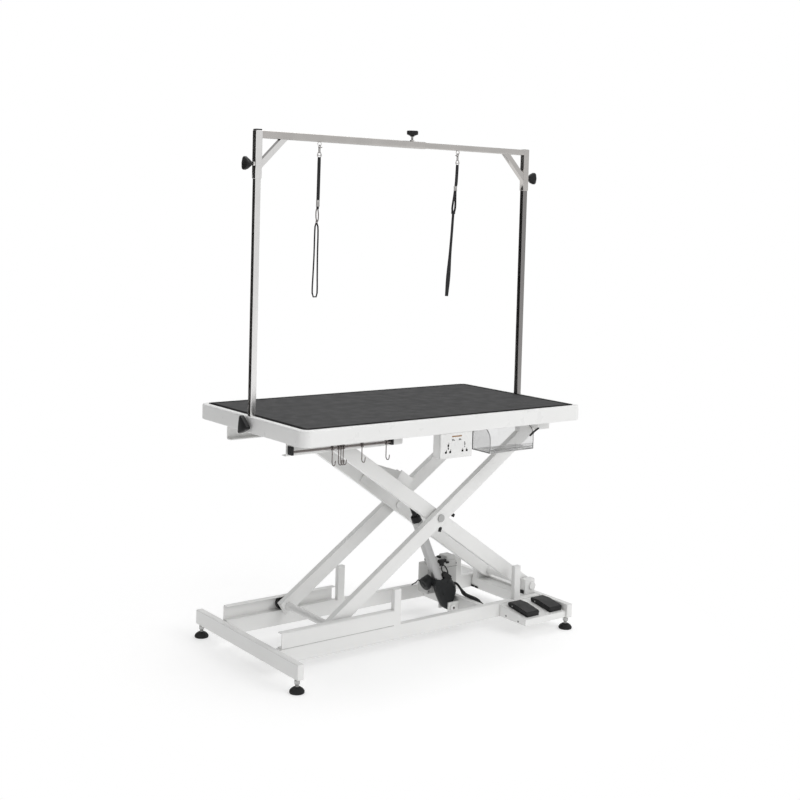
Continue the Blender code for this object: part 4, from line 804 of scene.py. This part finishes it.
bm = bmesh.new()
level = Vector((0.976, 0, -0.217))
upward = Vector((0.217, 0, 0.976))
block(bm, on_act(0.1130, 0.0015) - upward * 0.0100, (0.0490, 0.0455, 0.0260), 0.0050, level, upward)
piece("gear_case_collar", bm, "black_gear_case", "actuator")

CASE_HALF = 0.0235
CASE_SIDES = (
    (-0.0125, -0.0080, 0.0070), (-0.0060, -0.0130, 0.0120), (0.0050, -0.0175, 0.0200), (0.0230, -0.0400, 0.0235),
    (0.0370, -0.0520, 0.0247), (0.0560, -0.0556, 0.0253), (0.0780, -0.0530, 0.0247), (0.1010, -0.0445, 0.0228),
)
bm = bmesh.new()
seam = [on_act(along, right, -0.004) for along, right, left in CASE_SIDES]
seam += [on_act(along, left, -0.004) for along, right, left in reversed(CASE_SIDES)]
sweep(bm, smooth_path(seam, 72), circle(0.0009, 6))
for along, left in ((0.030, -0.026), (0.060, 0.012), (0.060, -0.040), (0.094, -0.024)):
    screw(bm, on_act(along, left, -CASE_HALF + 0.0004), FRONT, 0.0032, 0.0022)
piece("gear_case_fastenings", bm, "black_gear_case", "actuator")

MOTOR_ALONG = 0.1144
MOTOR_R = 0.0243
BAND_R = MOTOR_R + 0.0006
MOTOR_BEHIND = 0.025
bm = bmesh.new()
motor_end = on_act(MOTOR_ALONG, 0.048, MOTOR_BEHIND)
band = ((MOTOR_R - 0.002, -0.0125), (BAND_R, -0.0125), (BAND_R, -0.0060), (MOTOR_R - 0.002, -0.0060))
turned(bm, (*band, band[0]), motor_end, ACT_LEFT, 32)
piece("motor_band", bm, "black_gear_case", "actuator")
bm = bmesh.new()
turned(
    bm,
    (
        (0, -0.001), (MOTOR_R - 0.001, -0.001), (MOTOR_R - 0.003, 0.0025), (0.012, 0.0042),
        (0.0105, 0.0062), (0.0045, 0.0066), (0, 0.0066),
    ),
    motor_end, ACT_LEFT, 32,
)
piece("motor_end_cap", bm, "black_gear_case", "actuator")

bm = bmesh.new()
for middle, size, soft in (
    ((0.2330, -0.0330, 0.1760), (0.034, 0.020, 0.022), 0.004),
    ((0.2180, -0.0350, 0.1850), (0.010, 0.014, 0.015), 0.002),
    ((0.2490, -0.0310, 0.1630), (0.014, 0.014, 0.013), 0.003),
):
    block(bm, middle, size, soft, (0.80, 0, -0.60), (0.60, 0, 0.80))
piece("gear_case_connector", bm, "black_moulding", "actuator")


def wire(name, points, radius, body, count):
    """A round wire along a route."""
    route = smooth_path(points, count)
    bm = bmesh.new()
    sweep(bm, route, circle(radius, 10))
    made = piece(name, bm, "cable_rubber", body, 60)
    return made


wire(
    "wire_loop",
    [
        (0.2140, -0.0370, 0.1860), (0.2085, -0.0400, 0.1985), (0.2032, -0.0410, 0.2073), (0.2029, -0.0410, 0.2169),
        (0.2102, -0.0410, 0.2211), (0.2199, -0.0410, 0.2150), (0.2284, -0.0400, 0.2035), (0.2363, -0.0370, 0.1907),
        (0.2400, -0.0340, 0.1830),
    ],
    0.0023, "actuator", 32,
)
wire(
    "wire_down_case",
    [
        (0.2530, -0.0310, 0.1600), (0.2585, -0.0310, 0.1565), (0.2650, -0.0300, 0.1510), (0.2715, -0.0285, 0.1455),
        (0.2790, -0.0270, 0.1405),
    ],
    0.0026, "actuator", 20,
)
bm = bmesh.new()
boot = on_act(0.0560, -0.0556, 0.0)
turned(
    bm,
    (
        (0, -0.002), (0.0085, -0.002), (0.0085, 0.0015), (0.0068, 0.0030), (0.0072, 0.0045), (0.0058, 0.0060),
        (0.0062, 0.0075), (0.0050, 0.0090),
    ),
    boot, -ACT_LEFT, 20,
)
piece("lead_boot", bm, "cable_rubber", "actuator")
bm = bmesh.new()
bush = ((0, 0), (0.0118, 0), (0.0118, 0.0042), (0.0106, 0.0052), (0, 0.0052))
turned(bm, bush, (ACT_LOW.x, -0.0552, ACT_LOW.z), FRONT)
piece("actuator_pin_bush", bm, "white_moulding", "base")
bm = bmesh.new()
bolt(bm, (ACT_LOW.x, -0.0603, ACT_LOW.z), FRONT, 0.0048, 0.0024)
piece("actuator_pin_nut", bm, "dark_steel_and_reflection", "base")

# Painted highlight: a zinc strip round the motor's underside, where the black motor shows a silver highlight.
bm = bmesh.new()
round_motor = []
for k in range(15):
    a = math.radians(-158 + 116 * k / 14)
    out = Vector((0, math.cos(a), math.sin(a)))
    out = (out - ACT_LEFT * out.dot(ACT_LEFT)).normalized()
    round_motor.append(motor_end - ACT_LEFT * 0.017 + out * (MOTOR_R + 0.0004))
sweep(bm, round_motor, slab(0.0070, 0.0016, 0.0007, 2), side=ACT_LEFT)
piece("motor_highlight_strip", bm, "zinc_plate", "actuator")

motor_points = [
    on_act(0.1180, 0.0500, 0.028), (0.1500, 0.022, 0.1590), (0.1650, 0.050, 0.1495), (0.1905, 0.088, 0.1310),
    (0.2110, 0.128, 0.1120), (0.2254, 0.160, 0.0964),
]
motor_lead = wire("motor_wire", motor_points, 0.0022, None, 28)
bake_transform(motor_lead)

# Control box: caps, plugs, a dome, and the seam and screws of its lid

BOX_TOP = 0.2045
BOX_Y = 0.064
CAP_R = 0.0098
LID_Y = 0.0337
bm = bmesh.new()
for x in (0.2175, 0.2475, 0.2735):
    turned(
        bm,
        ((0, 0.012), (CAP_R, 0.012), (CAP_R, 0.016), (CAP_R * 0.9, 0.0185), (CAP_R * 0.5, 0.0205), (0, 0.021)),
        (x, BOX_Y, BOX_TOP - 0.001), UP, 20,
    )
piece("control_caps", bm, "black_moulding", "base")
bm = bmesh.new()
block(bm, (0.2690, 0.0375, BOX_TOP + 0.006), (0.034, 0.012, 0.012), 0.002)
block(bm, (0.2640, 0.0360, BOX_TOP - 0.004), (0.020, 0.010, 0.012), 0.002)
block(bm, (0.2920, 0.0360, BOX_TOP - 0.002), (0.014, 0.009, 0.007), 0.0015)
piece("control_plugs", bm, "black_moulding", "base")
bm = bmesh.new()
turned(
    bm, ((0, 0), (0.0205, 0), (0.0195, 0.008), (0.0155, 0.013), (0.008, 0.016), (0, 0.0168)),
    (0.2620, 0.070, BOX_TOP - 0.001), UP, 28,
)
piece("control_dome", bm, "grey_moulding", "base")
bm = bmesh.new()
block(bm, (0.2697, LID_Y, BOX_TOP - 0.020), (0.1375, 0.0012, 0.0016), 0.0004)
for x in (0.206, 0.334):
    for z in (BOX_TOP - 0.010, 0.106):
        screw(bm, (x, LID_Y + 0.0002, z), FRONT, 0.0028, 0.0016)
piece("control_lid_line", bm, "slot_grey", "base")

# Side knobs: triangular heads that bow out a little along their sides

TABLE_KNOB_FACE, TABLE_KNOB_Z = 0.600, 0.7939
SLEEVE_KNOB_FACE, SLEEVE_KNOB_Z = 0.59725, 1.645
NECK_R = 0.025


def rounded_triangle(reach, corner, bow, turn):
    """Outline of a triangle with round corners and bowed sides, about its middle."""
    inner = reach - corner
    away = inner / 2 + corner + bow
    outline = []
    for k in range(3):
        middle = turn + 2 * math.pi * k / 3
        for step in range(-3, 4):
            a = middle + step * math.pi / 9
            outline.append(
                (inner * math.cos(middle) + corner * math.cos(a), inner * math.sin(middle) + corner * math.sin(a))
            )
        side = middle + math.pi / 3
        outline.append((away * math.cos(side), away * math.sin(side)))
    return outline


def knob_head(node, face, z, way, outline, rings):
    """A knob head in place of the plain one, as (height, share of the outline, roundness) rings."""
    bm = bmesh.new()
    sections = []
    for height, share, roundness in rings:
        section = []
        for u, v in outline:
            even = roundness * NECK_R / math.hypot(u, v) + (1 - roundness)
            section.append(Vector((way * (face + height), u * share * even, z + v * share * even)))
        sections.append(section)
    rings_along(bm, sections)
    head = piece(node + "_head", bm, "black_moulding", node)
    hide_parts(node)


TABLE_RINGS = (
    (0.0004, 0.22, 1), (0.0050, 0.22, 1), (0.0075, 0.80, 0), (0.0095, 0.97, 0),
    (0.0115, 1.0, 0), (0.0215, 1.0, 0), (0.0234, 0.97, 0), (0.0240, 0.88, 0),
)
SLEEVE_RINGS = (
    (0.0054, 0.20, 1), (0.0080, 0.22, 1), (0.0100, 0.32, 1), (0.0215, 0.80, 0.3),
    (0.0242, 0.95, 0), (0.0260, 1.0, 0), (0.0330, 1.0, 0), (0.0352, 0.94, 0), (0.0360, 0.84, 0),
)
for side, way, turn, sleeve_turn in (("left", -1, 68, 68), ("right", 1, -90, 0)):
    triangle = rounded_triangle(0.0340, 0.0060, 0.0015, math.radians(turn))
    knob_head("table_knob_" + side, TABLE_KNOB_FACE, TABLE_KNOB_Z, way, triangle, TABLE_RINGS)
    triangle = rounded_triangle(0.0240, 0.0100, 0.0025, math.radians(sleeve_turn))
    knob_head("sleeve_knob_" + side, SLEEVE_KNOB_FACE, SLEEVE_KNOB_Z, way, triangle, SLEEVE_RINGS)

# Snap hooks of the nooses: a ring in the webbing, a body and a thumb lever

for body, x, top, way in (("noose_left", LEFT_X, left_top, 1), ("noose_right", RIGHT_X, right_top, -1)):
    wire_ring(body + "_ring_top", (x, 0, top - 0.0058), (0.0078, 0, 0), (0, 0, 0.0086), 0.0014, body, 24)
    bm = bmesh.new()
    block(bm, (x, 0, top + 0.0150), (0.0064, 0.0056, 0.0130), 0.0018)
    lever = [(x, 0, top + 0.0180), (x + way * 0.0060, 0, top + 0.0195), (x + way * 0.0105, 0, top + 0.0215)]
    sweep(bm, smooth_path(lever, 8), circle(0.0013, 8))
    piece(body + "_snap_body", bm, "dark_steel_and_reflection", body)

# Sockets: slots as painted shade, ports, a strip and screws, standing a hair proud of the plate

PLATE_FACE = -0.334


def on_plate(name, look, spots):
    """Thin blocks on the socket plate, as rows of x, z, width and height."""
    bm = bmesh.new()
    for x, z, wide, tall in spots:
        block(bm, (x, PLATE_FACE, z), (wide, 0.0007, tall), 0.0003)
    piece(name, bm, look, "top")


# Painted shade: the socket holes are near-black blocks standing on the plate.
on_plate("socket_slots", "slot_painted_shade", (
    (-0.0239, 0.7284, 0.0062, 0.0086), (-0.0236, 0.7190, 0.0044, 0.0058), (-0.0331, 0.7064, 0.0082, 0.0066),
    (-0.0150, 0.7065, 0.0082, 0.0066), (0.0385, 0.7072, 0.0082, 0.0066), (0.0569, 0.7070, 0.0082, 0.0066),
))
on_plate("socket_ports", "slot_grey", (
    (-0.0046, 0.7482, 0.0078, 0.0036), (0.0256, 0.7477, 0.0078, 0.0036), (0.0478, 0.7288, 0.0050, 0.0076),
    (0.0474, 0.7205, 0.0038, 0.0042),
))
bm = bmesh.new()
block(bm, (0.0122, PLATE_FACE, 0.7583), (0.0426, 0.0009, 0.0046), 0.0004)
piece("socket_strip", bm, "amber_plastic", "top")
bm = bmesh.new()
for x in (-0.0505, 0.0755):
    screw(bm, (x, PLATE_FACE - 0.0001, 0.7272), FRONT, 0.0026, 0.0010)
piece("socket_screws", bm, "white_moulding", "top")

# Tool tray: its sheet edges and the peg through its side

TRAY_LEFT, TRAY_RIGHT = 0.164, 0.367
TRAY_FRONT, TRAY_BACK = -0.330, -0.238
TRAY_LOW, TRAY_HIGH = 0.684, 0.7697
TRAY_BEND = 0.040
PEG_Y = -0.3262
edge = circle(0.0011, 6)
edge_z = TRAY_LOW + 0.0008
bm = bmesh.new()
for x in (TRAY_LEFT + 0.0015, TRAY_RIGHT - 0.0015):
    rim = []
    for k in range(9):
        a = math.radians(90 * k / 8)
        y = TRAY_FRONT + TRAY_BEND - TRAY_BEND * math.sin(a) + 0.0006
        rim.append(Vector((x, y, TRAY_HIGH - TRAY_BEND + TRAY_BEND * math.cos(a) - 0.0008)))
    rim.append(Vector((x, TRAY_FRONT + 0.0006, edge_z)))
    sweep(bm, rim, edge)
    sweep(bm, [Vector((x, TRAY_FRONT + 0.001, edge_z)), Vector((x, TRAY_BACK, edge_z))], edge)
for y, z in ((TRAY_FRONT + 0.001, edge_z), (TRAY_FRONT + 0.0012, TRAY_LOW + 0.0105)):
    sweep(bm, [Vector((TRAY_LEFT + 0.0012, y, z)), Vector((TRAY_RIGHT - 0.0012, y, z))], edge)
piece("tool_tray_edges", bm, "sheet_edge", "top", 60)
bm = bmesh.new()
peg = [(x, PEG_Y, z) for x, z in ((0.3530, 0.7305), (0.3670, 0.7405), (0.3800, 0.7475), (0.3925, 0.7538))]
sweep(bm, smooth_path(peg, 10), circle(0.0034, 10))
turned(bm, ((0, -0.0006), (0.0052, -0.0006), (0.0052, 0.0006), (0, 0.0006)), (0.3673, PEG_Y, 0.7406), (1, 0, 0), 14)
piece("tool_tray_peg", bm, "black_moulding", "top", 50)

# Levelling feet: a hexagon nut on each stud

NUT_Z = 0.0278
NUT = ((0.006, 0.0), (0.0092, 0.0), (0.0102, 0.0008), (0.0102, 0.0112), (0.0092, 0.0120), (0.006, 0.0120))
for body, (x, y) in FEET.items():
    bm = bmesh.new()
    turned(bm, (*NUT, NUT[0]), (x, y, NUT_Z), UP, 6)
    piece(body + "_nut", bm, "zinc_plate", body, 30)

# Small fittings: pedal housings, tray screws, crossing bumpers, a pad at the lower pivot, a painted shadow line where
# the channel meets the rail, and shelf clips

SLOPE_FRONT, SLOPE_BACK = -0.322, -0.1833
SLOPE_LOW, SLOPE_HIGH = 0.068, 0.089
TRAY_SLOPE = (SLOPE_HIGH - SLOPE_LOW) / (SLOPE_BACK - SLOPE_FRONT)
pedal_over = Vector((0, -TRAY_SLOPE, 1)).normalized()
for side in ("left", "right"):
    low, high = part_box("pedal_" + side)
    middle_y = (low[1] + high[1]) / 2
    bm = bmesh.new()
    foot = Vector(((low[0] + high[0]) / 2, middle_y, SLOPE_LOW + (middle_y - SLOPE_FRONT) * TRAY_SLOPE))
    size = (high[0] - low[0] - 0.0008, high[1] - low[1] - 0.002, 0.0132)
    block(bm, foot + pedal_over * 0.0068, size, 0.0016, (1, 0, 0), pedal_over)
    piece(f"pedal_{side}_housing", bm, "black_moulding", "base")
    bm = bmesh.new()
    for x, way in ((low[0], -1), (high[0], 1)):
        screw(bm, (x - way * 0.0002, -0.2300, 0.0905), (way, 0, 0), 0.0027, 0.0014)
    piece(f"pedal_{side}_pin_heads", bm, "zinc_plate", "base")

bm = bmesh.new()
for y, z in ((-0.2185, 0.0556), (-0.2835, 0.0524)):
    screw(bm, (0.3650, y, z), (-1, 0, 0), 0.0034, 0.0016)
piece("pedal_tray_screws", bm, "slot_grey", "base")
bm = bmesh.new()
for x, z, lean in ((0.1236, 0.3822, 18), (0.1800, 0.4275, -62)):
    a = math.radians(lean)
    across, over = (math.cos(a), 0, -math.sin(a)), (math.sin(a), 0, math.cos(a))
    block(bm, (x, -0.1225, z), (0.0125, 0.0044, 0.0175), 0.0021, across, over)
piece("crossing_bumpers", bm, "cable_rubber", "inner_frame")
bm = bmesh.new()
block(bm, (0.5150, -0.1365, 0.1000), (0.0050, 0.0200, 0.0130), 0.0018)
piece("pivot_pad", bm, "cable_rubber", "base")
RAIL_FACE = -0.183
BEAM_TOP = 0.094
SHADOW_LINE_LEFT, SHADOW_LINE_RIGHT = -0.5715, -0.1165
bm = bmesh.new()
# Painted shadow: a grey bead along the joint of the front channel and rail stands for the shadow line there.
weld = [(x, RAIL_FACE, BEAM_TOP) for x in (SHADOW_LINE_LEFT, (SHADOW_LINE_LEFT + SHADOW_LINE_RIGHT) / 2, SHADOW_LINE_RIGHT)]
sweep(bm, smooth_path(weld, 12), circle(0.0011, 8))
piece("channel_shadow_line", bm, "shadow_line_paint", "base", 60)
bm = bmesh.new()
for y in (0.150, 0.128):
    block(bm, (0.5190, y, 0.0500), (0.0042, 0.0150, 0.0070), 0.0014)
clip_wire = [Vector((0.5185, y, z)) for y, z in ((0.1565, 0.0535), (0.140, 0.0515), (0.118, 0.0500))]
sweep(bm, clip_wire, circle(0.0022, 8))
piece("shelf_clips", bm, "black_moulding", "base")

# Stage: pale floor, a dark card that only reflections see, and soft lamps

WHITE = (1, 1, 1, 1)


def of_rays(tree, *kinds):
    """1 for rays of these kinds."""
    rays = tree.nodes.new("ShaderNodeLightPath")
    found = rays.outputs[kinds[0]]
    for kind in kinds[1:]:
        found = add_node(tree, "ShaderNodeMath", {0: found, 1: rays.outputs[kind]}, operation="MAXIMUM").outputs[0]
    return found


def sheet(name, wide, tall, segments, look):
    """A flat stage piece about the origin."""
    bm = bmesh.new()
    bmesh.ops.create_grid(bm, x_segments=segments, y_segments=segments, size=0.5)
    bmesh.ops.scale(bm, vec=(wide, tall, 1), verts=bm.verts)
    mesh = bpy.data.meshes.new(name)
    bm.to_mesh(mesh)
    bm.free()
    mesh.materials.append(look.made)
    made = bpy.data.objects.new(name, mesh)
    scene.collection.objects.link(made)
    return made


ground = Look("pale_floor", (0.72, 0.72, 0.72), 0.9)
ground.set("Specular IOR Level", 0.1)
ground.set("Emission Color", WHITE)
ground.set("Emission Strength", 0.38)
tree = ground.tree
glow = add_node(tree, "ShaderNodeEmission", {"Color": WHITE, "Strength": 1.0})
span = add_node(tree, "ShaderNodeVectorMath", {0: ground.where}, operation="LENGTH")
fade = add_node(
    tree, "ShaderNodeMapRange", {"From Min": 0.55, "From Max": 1.25, "Value": span.outputs["Value"]},
    interpolation_type="SMOOTHSTEP",
)
seen = of_rays(tree, "Is Camera Ray", "Is Transmission Ray", "Is Glossy Ray")
both = add_node(tree, "ShaderNodeMath", {0: fade.outputs["Result"], 1: seen}, operation="MULTIPLY")
mixer = add_node(
    tree, "ShaderNodeMixShader",
    {"Fac": both.outputs[0], 1: ground.shader.outputs["BSDF"], 2: glow.outputs["Emission"]},
)
tree.links.new(mixer.outputs["Shader"], tree.nodes["Material Output"].inputs["Surface"])
sheet("floor", 18.0, 18.0, 2, ground).location = (0, 0, -0.0005)

SKY_LEFT, SKY_RIGHT = 0.29, 0.70
SKY_MIRRORED = 0.76
world = bpy.data.worlds.new("studio")
scene.world = world
world.use_nodes = True
tree = world.node_tree
back = tree.nodes["Background"]
back.inputs["Color"].default_value = WHITE
sky = tree.nodes.new("ShaderNodeTexCoord")
apart = add_node(tree, "ShaderNodeSeparateXYZ", {"Vector": sky.outputs["Generated"]})
sideways = add_node(
    tree, "ShaderNodeMapRange",
    {"From Min": -1.0, "From Max": 0.6, "To Min": SKY_LEFT, "To Max": SKY_RIGHT, "Value": apart.outputs["X"]},
)
tree.links.new(sideways.outputs["Result"], back.inputs["Strength"])
white = add_node(tree, "ShaderNodeBackground", {"Color": WHITE, "Strength": 1.0})
mirrored = add_node(tree, "ShaderNodeBackground", {"Color": WHITE, "Strength": SKY_MIRRORED})
around = add_node(
    tree, "ShaderNodeMixShader",
    {"Fac": of_rays(tree, "Is Glossy Ray"), 1: back.outputs["Background"], 2: mirrored.outputs["Background"]},
)
seen = of_rays(tree, "Is Camera Ray", "Is Transmission Ray")
mixer = add_node(
    tree, "ShaderNodeMixShader", {"Fac": seen, 1: around.outputs["Shader"], 2: white.outputs["Background"]},
)
tree.links.new(mixer.outputs["Shader"], tree.nodes["World Output"].inputs["Surface"])

dark = Look("dark_card_left", (0.012, 0.011, 0.010), 0.9)
dark.set("Specular IOR Level", 0.0)
card = sheet("dark_card_left", 3.4, 2.6, 1, dark)
facing = Vector((0.72, -0.70, 0.0)).to_track_quat("Z", "Y").to_matrix().to_4x4()
card.matrix_world = Matrix.Translation((-2.3, 2.3, 1.1)) @ facing
card.visible_camera = False
card.visible_diffuse = False
card.visible_shadow = False
card.visible_transmission = False


def lamp(name, at, aim, wide, tall, watts):
    """A rectangular lamp aimed at a point."""
    made = bpy.data.objects.new(name, bpy.data.lights.new(name, "AREA"))
    made.data.shape = "RECTANGLE"
    made.data.size = wide
    made.data.size_y = tall
    made.data.energy = watts
    scene.collection.objects.link(made)
    made.location = at
    made.rotation_euler = (Vector(aim) - Vector(at)).to_track_quat("-Z", "Y").to_euler()
    return made


key = lamp("key_front", (1.4, -4.2, 3.0), (0.0, 0.0, 0.8), 3.2, 2.2, 70)
key.visible_glossy = False
lamp("top_soft", (0.2, 0.4, 4.4), (0.0, 0.0, 0.6), 3.4, 3.0, 60)
lamp("left_fill", (-4.4, -1.2, 2.2), (0.0, 0.0, 0.8), 2.2, 2.2, 8)
